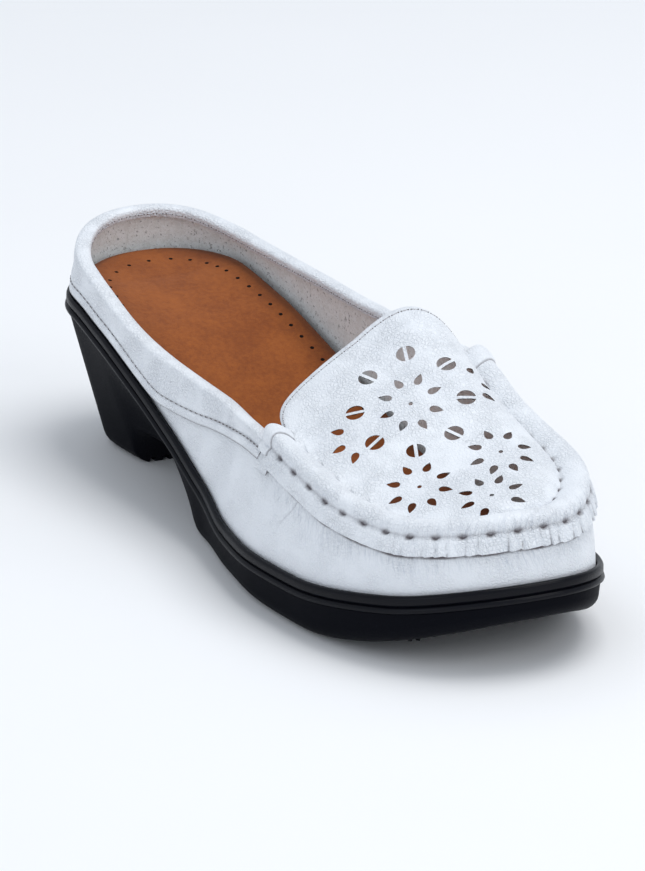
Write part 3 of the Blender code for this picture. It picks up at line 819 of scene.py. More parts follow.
@dataclass(frozen=True)
class MouldedSole:
    """Blue-black moulded sole with a light leather grain; its walls are slightly dusty."""

    name: str = "black_sole"
    colour: tuple[float, float, float] = (0.0040, 0.0044, 0.0070)
    dusty: tuple[float, float, float] = (0.0042, 0.0047, 0.0070)
    roughness: float = 0.40

    def material(self) -> bpy.types.Material:
        """Build the material."""
        graph = Graph(self.name)
        moved = graph.warped(300.0, 0.0012)
        grain = graph.cells(1150.0, "DISTANCE_TO_EDGE", moved).above(0.0, 0.3)
        fine = graph.noise(4200.0, 4.0, 0.65)
        scuffs = graph.noise(1.0, 5.0, 0.7, graph.stretched((160.0, 160.0, 900.0))).above(0.62, 0.74)
        dust = graph.noise(120.0, 4.0, 0.62).above(0.42, 0.72)
        wall = graph.attribute(CREASE)
        graph.set(
            base_color=graph.mix(
                wall * (0.55 + dust * 0.35 + scuffs * 0.25), opaque(self.colour), opaque(self.dusty)
            ),
            roughness=self.roughness + wall * 0.16 + (fine - 0.5) * 0.14 + scuffs * 0.12,
            normal=graph.relief(grain * 0.55 + fine * 0.3, 0.00012, 0.5),
            specular_ior_level=0.025,
            coat_weight=(1.0 - wall) * 0.22,
            coat_roughness=0.20,
        )
        return graph.material


@dataclass(frozen=True)
class Thread:
    """Twisted sewing thread."""

    name: str = "white_thread"
    colour: tuple[float, float, float] = (0.62, 0.62, 0.64)
    shade: tuple[float, float, float] = (0.36, 0.35, 0.37)

    def material(self) -> bpy.types.Material:
        """Build the material."""
        graph = Graph(self.name)
        fibres = graph.noise(5200.0, 3.0, 0.6)
        graph.set(
            base_color=graph.mix(fibres.above(0.4, 0.6), opaque(self.shade), opaque(self.colour)),
            roughness=0.62 + fibres * 0.2,
            normal=graph.relief(fibres, 0.0001, 0.5),
        )
        return graph.material


class Finish(Enum):
    """Finishes of the shoe, each built once."""

    LEATHER = TumbledLeather()
    VAMP = TumbledLeather(name="drawn_leather", grain=0.55, pebble=980.0, roughness=0.47)
    SUEDE = Suede()
    EDGE = CutEdge()
    # Near-black cut edge of the punched panel: painted shade that makes its holes read dark.
    SHADED_PUNCH = CutEdge(name="punched_edge_shade", light=(0.10, 0.085, 0.08), dark=(0.035, 0.028, 0.026))
    FOOTBED = FootbedLeather()
    SOLE = MouldedSole()
    THREAD = Thread()
    # Dark grains set at the needle holes: painted shade of the holes.
    NEEDLE = Thread(name="needle_hole_shade", colour=(0.17, 0.15, 0.155), shade=(0.09, 0.08, 0.085))
    # Near-black walls of the footbed's pinholes: painted shade inside the holes.
    PIN = Thread(name="pin_hole_shade", colour=(0.020, 0.012, 0.010), shade=(0.010, 0.007, 0.006))

    def material(self) -> bpy.types.Material:
        """The finish's material, made the first time that it is asked for."""
        return bpy.data.materials.get(self.value.name) or self.value.material()


Place = Callable[[int, int], tuple[Vector, float]]


def mapped_grid(
    columns: int,
    rows: int,
    place: Place,
    gathers: Callable[[int, int], Vector] | None = None,
    edges: int = 0,
) -> bmesh.types.BMesh:
    """Grid of quads whose corners are moved onto a surface.

    Args:
        columns: Steps along the grid.
        rows: Steps across it.
        place: Gives a corner's point and how creased it is, from its column and row.
        gathers: Gives a corner's place along the seam, its distance from it and how gathered it is.
        edges: Steps at both ends of a row that take the second set of finishes.

    Returns:
        The mesh, with what meets welded.
    """
    bm = bmesh.new()
    layer = bm.verts.layers.float.new(CREASE)
    gather = bm.verts.layers.float_vector.new(GATHER)
    bmesh.ops.create_grid(bm, x_segments=columns, y_segments=rows, size=0.5)
    for face in bm.faces:
        step = (face.calc_center_median().x + 0.5) * columns
        face.material_index = 3 if min(step, columns - step) < edges else 0
    for vert in bm.verts:
        column, row = round((vert.co.x + 0.5) * columns), round((vert.co.y + 0.5) * rows)
        vert.co, vert[layer] = place(column, row)
        if gathers:
            vert[gather] = gathers(column, row)
    bmesh.ops.remove_doubles(bm, verts=bm.verts, dist=MERGE)
    return bm


def face_outwards(bm: bmesh.types.BMesh, heart: Vector) -> None:
    """Turn an open sheet so that it faces away from a point."""
    facing = sum(face.normal.dot(face.calc_center_median() - heart) * face.calc_area() for face in bm.faces)
    if facing < 0:
        bmesh.ops.reverse_faces(bm, faces=bm.faces)


@dataclass
class Shoe:
    """What all the pieces share: the last, and the shift onto the frame."""

    last: Last
    origin: Vector = field(default_factory=Vector)

    def __post_init__(self) -> None:
        """Find where the frame holds the back of the heel and the shoe's middle line."""
        low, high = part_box("sole_unit")
        lateral, medial = (
            [self.last.plan_point(side, math.pi * i / 400).y for i in range(401)] for side in Side
        )
        middle = (min(lateral) + max(medial)) / 2
        self.origin = Vector((low[0], (low[1] + high[1]) / 2 - middle, 0.0))

    def place(
        self,
        name: str,
        bm: bmesh.types.BMesh,
        slot: Slot,
        finishes: Sequence[Finish],
        nodes: Iterable[str] = (),
    ) -> bpy.types.Object:
        """Make a piece that rides on the shoe's body.

        Args:
            name: Name of the piece.
            bm: Its mesh, in the shoe's axes; it is freed here.
            slot: Not used.
            finishes: Finish of each material index.
            nodes: Nodes of the frame that it stands for.

        Returns:
            The new object, at the origin.
        """
        bm.transform(Matrix.Translation(self.origin))
        mesh = bpy.data.meshes.new(name)
        bm.to_mesh(mesh)
        bm.free()
        mesh.shade_smooth()
        for finish in finishes:
            mesh.materials.append(finish.material())
        piece = bpy.data.objects.new(name, mesh)
        bpy.context.scene.collection.objects.link(piece)
        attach(piece, BODY)
        if nodes:
            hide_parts(*nodes)
        LOG.info("%s: %d faces", name, len(mesh.polygons))
        return piece

    def cutter(self, name: str, bm: bmesh.types.BMesh) -> bpy.types.Object:
        """Object that cuts a piece and is then removed.

        Args:
            name: Name of the cutter.
            bm: Its mesh, in the shoe's axes; it is freed here.

        Returns:
            The cutter, on the frame.
        """
        bm.transform(Matrix.Translation(self.origin))
        mesh = bpy.data.meshes.new(name)
        bm.to_mesh(mesh)
        bm.free()
        cutter = bpy.data.objects.new(name, mesh)
        bpy.context.scene.collection.objects.link(cutter)
        return cutter


def add_wall(piece: bpy.types.Object, thickness: float, rounding: float = 0.00025) -> None:
    """Give a sheet its thickness, inwards, with eased edges.

    Args:
        piece: Sheet whose materials are face, back and edge.
        thickness: Thickness of the wall.
        rounding: Radius of the edges.
    """
    solidify = piece.modifiers.new("Thickness", "SOLIDIFY")
    solidify.thickness = thickness
    solidify.offset = -1.0
    solidify.use_even_offset = True
    solidify.thickness_clamp = 1.0
    solidify.material_offset = 1
    solidify.material_offset_rim = 2
    bevel = piece.modifiers.new("Edges", "BEVEL")
    bevel.width = rounding
    bevel.segments = 2
    bevel.limit_method = "ANGLE"
    bevel.angle_limit = math.radians(62.0)
    bevel.use_clamp_overlap = True
    bevel.material = -1


def cut(piece: bpy.types.Object, cutter: bpy.types.Object) -> None:
    """Cut a piece with another one, which is then removed."""
    modifier = piece.modifiers.new("Cut", "BOOLEAN")
    modifier.operation = "DIFFERENCE"
    modifier.object = cutter
    modifier.solver = "EXACT"
    graph = bpy.context.evaluated_depsgraph_get()
    mesh = bpy.data.meshes.new_from_object(piece.evaluated_get(graph))
    piece.modifiers.clear()
    old = piece.data
    mesh.name = old.name
    piece.data = mesh
    bpy.data.meshes.remove(old)
    bpy.data.objects.remove(cutter, do_unlink=True)


class Fold(NamedTuple):
    """Gather fold of the vamp, in millimetres from the toe's tip and below the flange."""

    from_toe: float
    length: float
    depth: float
    width: float
    lean: float


@dataclass
class Upper:
    """Vamp and quarters: one hollow wall of white leather, suede inside."""

    shoe: Shoe
    rows: int = 44
    near_pitch: float = 0.00046
    far_pitch: float = 0.0022
    flange: float = 0.0046
    seed: int = 11
    small_folds: int = 70
    scatter: tuple[float, float] = (-82.0, 108.0)
    fold_reach: float = 14.0
    fold_strength: float = 1.3
    far_range: tuple[float, float] = (0.118, 0.140)
    row_power: float = 0.80
    foot_line: float = 0.0027
    foot_width: float = 0.0009
    shade_below: float = 0.20
    shade_width: float = 0.55
    shade_middle: float = 0.010
    shade_reach: tuple[float, float] = (-0.112, -0.104)
    folds = (
        Fold(112.0, 6.0, 0.10, 0.8, 0.45),
        Fold(105.5, 9.0, 0.14, 0.8, 0.55),
        Fold(100.0, 12.0, 0.20, 0.8, 0.60),
        Fold(96.0, 7.0, 0.16, 0.7, 0.45),
        Fold(92.5, 17.0, 0.34, 1.0, 0.62),
        Fold(89.0, 11.0, 0.18, 0.7, 0.50),
        Fold(84.5, 8.0, 0.14, 0.8, 0.35),
        Fold(78.0, 12.0, 0.18, 0.9, 0.38),
        Fold(69.5, 7.0, 0.12, 0.8, 0.22),
        Fold(62.0, 9.0, 0.14, 0.9, 0.22),
        Fold(51.0, 7.0, 0.12, 0.8, 0.12),
        Fold(43.5, 9.0, 0.16, 0.9, 0.16),
        Fold(33.0, 7.0, 0.12, 0.8, 0.05),
        Fold(21.0, 8.0, 0.12, 0.9, -0.06),
        Fold(6.0, 6.0, 0.10, 0.8, 0.04),
        Fold(-9.0, 8.0, 0.12, 0.9, -0.05),
        Fold(-24.0, 7.0, 0.12, 0.8, -0.12),
        Fold(-37.0, 9.0, 0.14, 0.9, -0.16),
        Fold(-52.0, 8.0, 0.12, 0.9, -0.28),
        Fold(-66.0, 10.0, 0.14, 0.9, -0.32),
    )

    def stations(self) -> list[Station]:
        """Sections all round the shoe, close together over the vamp."""
        last = self.shoe.last

        def pitch(to_toe: float) -> float:
            """Spacing of the sections at a distance from the toe."""
            far = smooth_step(to_toe, *self.far_range)
            return self.near_pitch + (self.far_pitch - self.near_pitch) * far

        lateral = [last.station(Side.LATERAL, a) for a in last.walk(Side.LATERAL, 0.0, 1.0, pitch)]
        medial = [last.station(Side.MEDIAL, a) for a in last.walk(Side.MEDIAL, 0.0, 1.0, pitch)]
        return lateral + medial[-2::-1]

    def all_folds(self) -> list[Fold]:
        """The listed folds, and small ones scattered between them."""
        rng = random.Random(self.seed)
        extra = []
        for _ in range(self.small_folds):
            place = rng.uniform(*self.scatter)
            extra.append(
                Fold(
                    place,
                    rng.uniform(2.0, 9.0),
                    rng.uniform(0.03, 0.09),
                    rng.uniform(0.55, 0.95),
                    0.0045 * place + rng.uniform(-0.25, 0.25),
                )
            )
        return [*self.folds, *extra]

    def relief(self, folds: list[Fold], from_toe: float, below: float) -> tuple[float, float]:
        """Height of the gather folds at a place, and the painted shade in their troughs.

        Args:
            folds: Folds that reach the place's column.
            from_toe: Place along the edge, in millimetres.
            below: Distance under the flange's edge, in millimetres.

        Returns:
            Lift off the wall in metres, and how creased it is.
        """
        lift = crease = 0.0
        for fold in folds:
            if below > fold.length * 1.25 or below < -4.0:
                continue
            depth = max(0.0, below)
            wander = 0.22 * math.sin(depth * 0.7 + fold.from_toe)
            across = from_toe - fold.from_toe - fold.lean * depth + wander
            fade = 1.0 - smooth_step(depth, 0.25 * fold.length, 1.25 * fold.length)
            trough = bump_at(across, 0.36 * fold.width) * fade
            beside = 1.1 * fold.width
            ridges = bump_at(across - beside, fold.width) + bump_at(across + beside, fold.width)
            lift += (0.42 * ridges * fade - trough) * fold.depth
            # Painted shade in each fold's trough.
            crease += trough * fold.depth * 1.15
        return self.fold_strength * lift * MM, crease

    def build(self) -> bpy.types.Object:
        """Build the wall."""
        stations = self.stations()
        folds = self.all_folds()
        near = [
            [fold for fold in folds if abs(station.from_toe / MM - fold.from_toe) < self.fold_reach]
            for station in stations
        ]
        heights = [s.height() for s in stations]

        def place(column: int, row: int) -> tuple[Vector, float]:
            """Point of the wall's face, and how creased it is."""
            station = stations[column]
            rise = (row / self.rows) ** self.row_power
            wall = heights[column]
            below = ((1.0 - rise) * wall - self.flange) / MM
            lift, crease = self.relief(near[column], station.from_toe / MM, below)
            foot = bump_at(rise * wall - self.foot_line, self.foot_width)
            uneven = 0.95 + 0.30 * math.sin(station.from_toe * 410.0)
            # Painted shadow: a dark line just under the flange's edge, uneven in width.
            under = bump_at(below - self.shade_below, self.shade_width) * uneven
            shown = smooth_step(-abs(station.from_toe - self.shade_middle), *self.shade_reach)
            return station.wall(rise, lift), min(1.0, crease + 0.35 * foot + under * shown)

        def gathers(column: int, row: int) -> Vector:
            """Place along the seam, distance under it, and how gathered the leather is."""
            toe = stations[column].from_toe
            below = (1.0 - (row / self.rows) ** self.row_power) * heights[column] - self.flange
            reach = 0.008 + 0.007 * bump_at(toe - 0.092, 0.022) + 0.002 * math.sin(toe * 190.0)
            front = smooth_step(-abs(toe - 0.012), -0.112, -0.078)
            return Vector((toe, below, front * (1.0 - smooth_step(below, 0.1 * reach, reach))))

        bm = mapped_grid(len(stations) - 1, self.rows, place, gathers)
        middle = self.shoe.last.length / 2
        face_outwards(bm, Vector((middle, 0.0, self.shoe.last.heel_height / 2)))
        finishes = (Finish.VAMP, Finish.SUEDE, Finish.EDGE)
        piece = self.shoe.place("upper_leather", bm, Slot.LEATHER, finishes, ["upper"])
        add_wall(piece, self.shoe.last.leather)
        return piece


@dataclass
class Plug:
    """Perforated apron with its hand-sewn roll and gathered flange."""

    shoe: Shoe
    roll_width: float = 0.0075
    roll_height: float = 0.0036
    panel_lift: float = 0.0027
    flange_width: float = 0.0046
    flange_leather: float = 0.0012
    tongue_bow: float = 0.0140
    wall: float = 0.00090
    throat_seam: float = 0.0022
    throat_rungs: int = 14
    waste: int = 2
    steepest: float = 0.70
    stitch_pitch: float = 0.0088
    stagger: float = 0.0020
    outer_pit: float = 0.0011
    inner_pit: float = 0.0006
    fine_depth: float = 0.00022
    pleat_depth: float = 0.00042
    edge_bevel: float = 0.00018
    pleat_pitch: float = 0.0052
    pitch: float = 0.00062
    flange_rows: int = 7
    roll_rows: int = 17
    panel_columns: int = 88
    crest_skew = {Side.LATERAL: 0.010, Side.MEDIAL: 0.0145}
    tongue_square = {Side.LATERAL: 12.0, Side.MEDIAL: 2.2}

    def gather(self, from_toe: float) -> float:
        """How strongly the flange is gathered at a place along the edge."""
        return smooth_step(-abs(from_toe + 0.006), -0.082, -0.030)

    def pleat(self, from_toe: float) -> float:
        """Height of the flange's pleats, from -1 in a fold to 1 on a crown."""
        uneven = 0.30 * math.sin(from_toe * 171.0) + 0.22 * math.sin(from_toe * 523.0)
        turn = from_toe / self.pleat_pitch + uneven
        share = turn % 1.0
        return 2.0 * share**0.7 * (1.0 - smooth_step(share, 0.80, 1.0)) - 1.0

    def stitch(self, from_toe: float, length: float = 0.0012) -> float:
        """Nearness to a hand stitch, 1 at its middle."""
        place = (from_toe / self.stitch_pitch + 0.35) % 1.0 - 0.5
        return bump_at(place * self.stitch_pitch, length)

    def inner_crease(self, station: Station) -> Vector:
        """Foot of the roll on the panel's side, with no stitch drawn in."""
        last = self.shoe.last
        along = (station.share - last.plug_start) / (1.0 - last.plug_start)
        roll = self.roll_width * (0.75 + 0.25 * min(1.0, max(0.0, along / 0.25)))
        return station.wall(1.0) - station.out * roll + UP * self.panel_lift

    def section(self, station: Station) -> tuple[list[Vector], list[float]]:
        """Flange, crease and roll of one side.

        Args:
            station: Section of the shoe.

        Returns:
            Points from the flange's edge to the inner crease, and how creased each is.
        """
        last = self.shoe.last
        toe = station.from_toe
        gather, stitch = self.gather(toe), self.stitch(toe)
        points, creases = [], []
        width = self.flange_width * (1.0 + 0.05 * gather * self.pleat(toe))
        wall = station.height()
        for k in range(self.flange_rows):
            share = 1.0 - k / self.flange_rows
            rise = 1.0 - share * width / wall
            pleat = self.pleat(toe + 0.0011 * share * math.sin(toe * 240.0))
            lift = last.gap + self.flange_leather + self.pleat_depth * gather * (1.0 + pleat) * share**0.6
            points.append(station.wall(rise, lift))
            # Painted shade in the pleats' folds, at the stitches and along the crease by the roll.
            painted_darkening = gather * bump_at(pleat + 1.0, 0.30) * 0.80 * (0.3 + 0.7 * share)
            creases.append(painted_darkening + 0.95 * stitch * bump_at(share, 0.09) + 0.16 * bump_at(share, 0.16))
        seam = station.wall(1.0)
        out, up = station.normal(1.0), station.tangent(1.0)
        crease = seam + out * (last.gap + 0.55 * self.flange_leather) + up * (last.gap + 0.0004)
        panel = self.inner_crease(station)
        lift = (UP * 0.85 + station.out * 0.5).normalized()
        inner = 1.0 if station.side is Side.MEDIAL else 0.30
        for k in range(self.roll_rows + 1):
            share = k / self.roll_rows
            arch = self.roll_height * math.sin(math.pi * share) ** 0.75
            fine = math.sin(toe * 2450.0 + 2.2 * math.sin(toe * 310.0) + 3.0 * share)
            swollen = (1.0 - share) ** 1.3 * math.sin(math.pi * min(1.0, share * 2.2))
            drawn = gather * swollen * fine * self.fine_depth
            pit = stitch * bump_at(share, 0.10) * self.outer_pit
            pit += self.stitch(toe + self.stagger) * bump_at(share - 1.0, 0.07) * self.inner_pit
            points.append(crease.lerp(panel, share) + lift * (arch + drawn - pit))
            # Painted shade along the crease and the inner crease, in the stitch pits and in the drawn
            # wrinkles' valleys.
            dark = bump_at(share, 0.05) * 0.40 + bump_at(share, 0.06) * 1.2 * stitch
            sewn = self.stitch(toe + self.stagger, 0.0013)
            dark += bump_at(share - 1.0, 0.05) * inner * (0.30 + 1.1 * sewn)
            dark += 0.16 * gather * max(0.0, -fine) ** 3 * bump_at(share - 0.16, 0.16)
            creases.append(dark)
        return points, creases

    def rung(self, lateral: Station, medial: Station, along: float) -> tuple[list[Vector], list[float]]:
        """Points of the whole piece across the shoe at one station.

        Args:
            lateral: Section of the outer side.
            medial: Section of the inner side.
            along: Share of the way from the throat to the toe, by angle.

        Returns:
            Points from the outer flange to the inner one, and how creased each is.
        """
        left, left_creases = self.section(lateral)
        right, right_creases = self.section(medial)
        start, end = self.inner_crease(lateral), self.inner_crease(medial)
        crown = self.shoe.last.crest.at(along, Side.LATERAL) * self.shoe.last.instep_height
        fade = (1.0 - along) ** 2
        panel, creases = [], []
        for j in range(1, self.panel_columns):
            across = 2.0 * j / self.panel_columns - 1.0
            side = Side.MEDIAL if across > 0 else Side.LATERAL
            point = start.lerp(end, (across + 1.0) / 2.0)
            point.z += crown * (1.0 - abs(across) ** 3.5)
            point.z += self.crest_skew[side] * fade * across * (1.0 - abs(across) ** 3)
            point.x -= self.tongue_bow * fade * (1.0 - abs(across) ** self.tongue_square[side])
            panel.append(point)
            creases.append(0.0)
        return left + panel + right[::-1], left_creases + creases + right_creases[::-1]

    def surface(self) -> tuple[list[list[Vector]], list[list[float]], list[list[float]]]:
        """Rungs of the whole piece from the throat to the toe.

        Returns:
            Points of each rung, how creased each is, and both sides' distances from the toe.
        """
        last = self.shoe.last
        angles = last.walk(Side.LATERAL, last.plug_start, 1.0, lambda to_toe: self.pitch)
        first = angles[0]
        rungs, creases, toes = [], [], []
        for angle in angles:
            sides = [last.station(side, angle) for side in Side]
            points, dark = self.rung(*sides, (angle - first) / (math.pi - first))
            rungs.append(points)
            creases.append(dark)
            toes.append([station.from_toe for station in sides])
        return rungs, creases, toes

    def build(self) -> bpy.types.Object:
        """Build the apron with its punched pattern."""
        rungs, creases, toes = self.surface()
        edge = rungs[0]
        middle = (len(edge) - 1) / 2
        roll = self.flange_rows + self.roll_rows

        def place(column: int, row: int) -> tuple[Vector, float]:
            """Point of the leather's face, turned under at the throat, and how creased it is."""
            point = rungs[row][column].copy()
            away = (point - edge[column]).length
            sewn = bump_at(away - self.throat_seam, 0.0004) if row < 12 else 0.0
            rolled = 0.0007 * (1.0 - smooth_step(away, 0.0, 0.0018)) if row < 12 else 0.0
            point.z -= 0.00028 * sewn + rolled
            # Painted shade along the throat's stitched seam.
            return point, min(1.0, creases[row][column] + 0.30 * sewn)

        def gathers(column: int, row: int) -> Vector:
            """Place along the roll, distance from its seam, and how gathered the leather is."""
            inner = column > middle
            inwards = len(edge) - 1 - column if inner else column
            toe = toes[row][inner]
            rise = (inwards - self.flange_rows) / self.roll_rows
            fade = 1.0 - smooth_step(rise, 0.05, 0.62) if inwards < roll else 0.0
            shown = fade * (0.15 + 0.85 * self.gather(toe)) * (0.55 if rise < 0 else 1.0)
            return Vector((toe, abs(rise) * 0.008, shown))

        bm = mapped_grid(len(edge) - 1, len(rungs) - 1, place, gathers, self.flange_rows)
        face_outwards(bm, Vector((self.shoe.last.length * 0.8, 0.0, 0.0)))
        tree = BVHTree.FromBMesh(bm)
        panel = (Finish.LEATHER, Finish.SUEDE, Finish.SHADED_PUNCH)
        flange = (Finish.LEATHER, Finish.SUEDE, Finish.EDGE)
        piece = self.shoe.place("plug_leather", bm, Slot.LEATHER, panel + flange, ["plug"])
        cut(piece, self.punches(tree))
        self.clear(piece)
        add_wall(piece, self.wall, self.edge_bevel)
        self.sew(rungs)
        return piece

    def clear(self, piece: bpy.types.Object) -> None:
        """Take the punches' own faces out of the cut sheet, so that its holes are open."""
        bm = bmesh.new()
        bm.from_mesh(piece.data)
        waste = [face for face in bm.faces if face.material_index == self.waste]
        bmesh.ops.delete(bm, geom=waste, context="FACES")
        bm.to_mesh(piece.data)
        bm.free()

    def punches(self, tree: BVHTree) -> bpy.types.Object:
        """Cutter of the whole pattern, each hole square on the leather.

        Args:
            tree: Search tree of the plug's face, in the shoe's axes.

        Returns:
            The cutter.
        """
        pattern = Pattern()
        bm = bmesh.new()
        for shape in pattern.shapes():
            flat = pattern.on_shoe(shape.centre)
            spot, normal, _, _ = tree.ray_cast(Vector((flat.x, flat.y, 1.0)), -UP)
            if normal.z < self.steepest:
                continue
            turn = shape.turn + math.radians(pattern.turn)
            along = Vector((math.cos(turn), math.sin(turn), 0.0))
            along = (along - normal * along.dot(normal)).normalized()
            across = normal.cross(along)
            axes = Matrix((along, across, normal)).transposed().to_4x4()
            shape.add(bm, Matrix.Translation(spot) @ axes, pattern.depth)
        bmesh.ops.recalc_face_normals(bm, faces=bm.faces)
        for face in bm.faces:
            face.material_index = self.waste
        cutter = self.shoe.cutter("punches", bm)
        for _ in range(self.waste + 1):
            cutter.data.materials.append(Finish.SHADED_PUNCH.material())
        return cutter

    def sew(self, rungs: list[list[Vector]]) -> None:
        """Throat stitches; the roll's stitches are only pits and painted shade in its leather.

        Args:
            rungs: Rungs of the piece.
        """
        run = []
        roll = self.flange_rows + self.roll_rows
        for column in range(roll + 1, len(rungs[0]) - roll):
            path = [rung[column] for rung in rungs[: self.throat_rungs]]
            passed = (i for i, point in enumerate(path) if (point - path[0]).length > self.throat_seam)
            far = next(passed, self.throat_rungs - 1)
            before, after = ((path[i] - path[0]).length for i in (far - 1, far))
            share = (self.throat_seam - before) / max(after - before, MERGE)
            run.append(path[far - 1].lerp(path[far], min(1.0, share)))
        sewing = Stitches(self.shoe)
        sewing.line("throat_stitches", run, pitch=0.0029, length=0.0020, sink=0.00022)


class Shape(NamedTuple):
    """Punched hole: its place, turn, length and width, and how it is formed."""

    centre: tuple[float, float]
    turn: float
    length: float
    width: float
    kind: str

    def add(self, bm: bmesh.types.BMesh, place: Matrix, depth: float) -> None:
        """Add the hole's punch.

        Args:
            bm: Mesh that it is added to.
            place: Frame of the hole, with Z out of the leather.
            depth: How far the punch reaches either way.
        """
        count = {"drop": 20, "dot": 12, "moon": 24}[self.kind]
        made = bmesh.ops.create_circle(bm, cap_ends=True, segments=count, radius=0.5)["verts"]
        for vert in made:
            turn = math.atan2(vert.co.y, vert.co.x)
            if self.kind == "drop":
                turn %= 2 * math.pi
                vert.co.x = 0.5 * self.length * math.cos(turn)
                vert.co.y = 0.65 * self.width * math.sin(turn) * math.sin(turn / 2)
            else:
                vert.co.x *= self.length
                vert.co.y *= self.length
        if self.kind == "moon":
            faces = {face for vert in made for face in vert.link_faces}
            parts = [*made, *{edge for face in faces for edge in face.edges}, *faces]
            sign = 1.0 if self.width > 0 else -1.0
            plane = Vector((0.0, abs(self.width) * sign, 0.0))
            away = Vector((0.0, -sign, 0.0))
            left = bmesh.ops.bisect_plane(
                bm, geom=parts, dist=MERGE, plane_co=plane, plane_no=away, clear_outer=True
            )["geom"]
            made = [item for item in left if isinstance(item, bmesh.types.BMVert) and item.is_valid]
        face = next(face for face in made[0].link_faces if all(v in made for v in face.verts))
        moved = bmesh.ops.extrude_face_region(bm, geom=[face], use_keep_orig=True)["geom"]
        top = [item for item in moved if isinstance(item, bmesh.types.BMVert)]
        bmesh.ops.translate(bm, verts=top, vec=UP * 2 * depth)
        bmesh.ops.translate(bm, verts=made + top, vec=-UP * depth)
        bmesh.ops.transform(bm, matrix=place, verts=made + top)


@dataclass
class Pattern:
    """Flowers of drop-shaped petals and a ring of split round holes."""

    centre: tuple[float, float] = (0.1768, 0.0008)
    turn: float = -4.0
    stretch: float = 1.15
    petal_length: float = 0.0042
    petal_width: float = 0.0024
    petal_ring: float = 0.0074
    petals: int = 8
    dot: float = 0.0013
    ring_radius: float = 0.0153
    ring_holes: int = 8
    ring_hole: float = 0.0056
    ring_bar: float = 0.0010
    depth: float = 0.0032
    flowers: tuple[tuple[float, float], ...] = ((0.0264, -0.0113), (0.0417, 0.0024), (0.0268, 0.0134))
    fan: tuple[float, float] = (0.0015, 0.0155)
    fan_turns: tuple[float, ...] = (45.0, 90.0, 135.0)

    def on_shoe(self, place: tuple[float, float]) -> Vector:
        """Place of a point of the pattern over the shoe."""
        tilt = Matrix.Rotation(math.radians(self.turn), 2)
        return tilt @ Vector((place[0] * self.stretch, place[1])) + Vector(self.centre)

    def petals_round(self, x: float, y: float, turns: Iterable[float]) -> list[Shape]:
        """Petals that point away from a centre."""
        return [
            Shape(
                (x + self.petal_ring * math.cos(turn), y + self.petal_ring * math.sin(turn)),
                turn,
                self.petal_length,
                self.petal_width,
                "drop",
            )
            for turn in turns
        ]

    def shapes(self) -> list[Shape]:
        """Every hole of the pattern."""
        even = [2 * math.pi * i / self.petals for i in range(self.petals)]
        made = []
        for x, y in ((0.0, 0.0), *self.flowers):
            made.append(Shape((x, y), 0.0, self.dot, self.dot, "dot"))
            made += self.petals_round(x, y, even)
        for i in range(self.ring_holes):
            turn = 2 * math.pi * (i + 0.5) / self.ring_holes
            spot = (self.ring_radius * math.cos(turn), self.ring_radius * math.sin(turn))
            made += [Shape(spot, turn, self.ring_hole, side * self.ring_bar / 2, "moon") for side in (-1, 1)]
        for side in (-1, 1):
            turns = [side * math.radians(value) for value in self.fan_turns]
            made += self.petals_round(self.fan[0], side * self.fan[1], turns)
        return made


@dataclass
class Stitches:
    """Runs of sewn thread, with dark grains painted as the shade of their needle holes."""

    shoe: Shoe
    thread: float = 0.00024
    hole: float = 0.00022

    def line(
        self,
        name: str,
        path: list[Vector],
        pitch: float,
        length: float,
        sink: float = 0.0,
        thick: float = 1.0,
    ) -> None:
        """Sew along a path.

        Args:
            name: Name of the thread's piece; the piece of dark grains painted as the needle holes' shade adds
                to it.
            path: Points on the leather's face.
            pitch: Distance between stitches.
            length: Length of a stitch on the face.
            sink: How far the thread lies in the leather.
            thick: Thread's thickness, as a share of the usual one.
        """
        threads, hole_shades = bmesh.new(), bmesh.new()
        for spot, along in self.places(path, pitch):
            self.grain(threads, spot - UP * sink, along, length, self.thread * thick)
            # Painted shade: a dark grain at each end of the stitch, where its needle hole is.
            for end in (-0.5, 0.5):
                self.grain(hole_shades, spot + along * end * length - UP * sink, along, 2.2 * self.hole, self.hole)
        self.shoe.place(name, threads, Slot.LEATHER, [Finish.THREAD])
        self.shoe.place(f"{name}_holes", hole_shades, Slot.LEATHER, [Finish.NEEDLE])

    def places(self, path: list[Vector], pitch: float) -> list[tuple[Vector, Vector]]:
        """Middle and direction of each stitch."""
        made = []
        run, due = 0.0, pitch / 2
        for before, after in zip(path, path[1:]):
            step = (after - before).length
            while step > 0 and run + step >= due:
                made.append((before.lerp(after, (due - run) / step), (after - before).normalized()))
                due += pitch
            run += step
        return made

    def grain(self, bm: bmesh.types.BMesh, spot: Vector, along: Vector, length: float, radius: float) -> None:
        """Add one rounded grain of thread.

        Args:
            bm: Mesh that it is added to.
            spot: Its middle.
            along: Its direction.
            length: Its length.
            radius: Its radius.
        """
        turn = along.to_track_quat("X", "Z").to_matrix().to_4x4()
        scale = Matrix.Diagonal((length / 2, radius, radius, 1.0))
        place = Matrix.Translation(spot) @ turn @ scale @ Matrix.Rotation(math.pi / 2, 4, "Y")
        bmesh.ops.create_uvsphere(bm, u_segments=8, v_segments=6, radius=1.0, matrix=place)


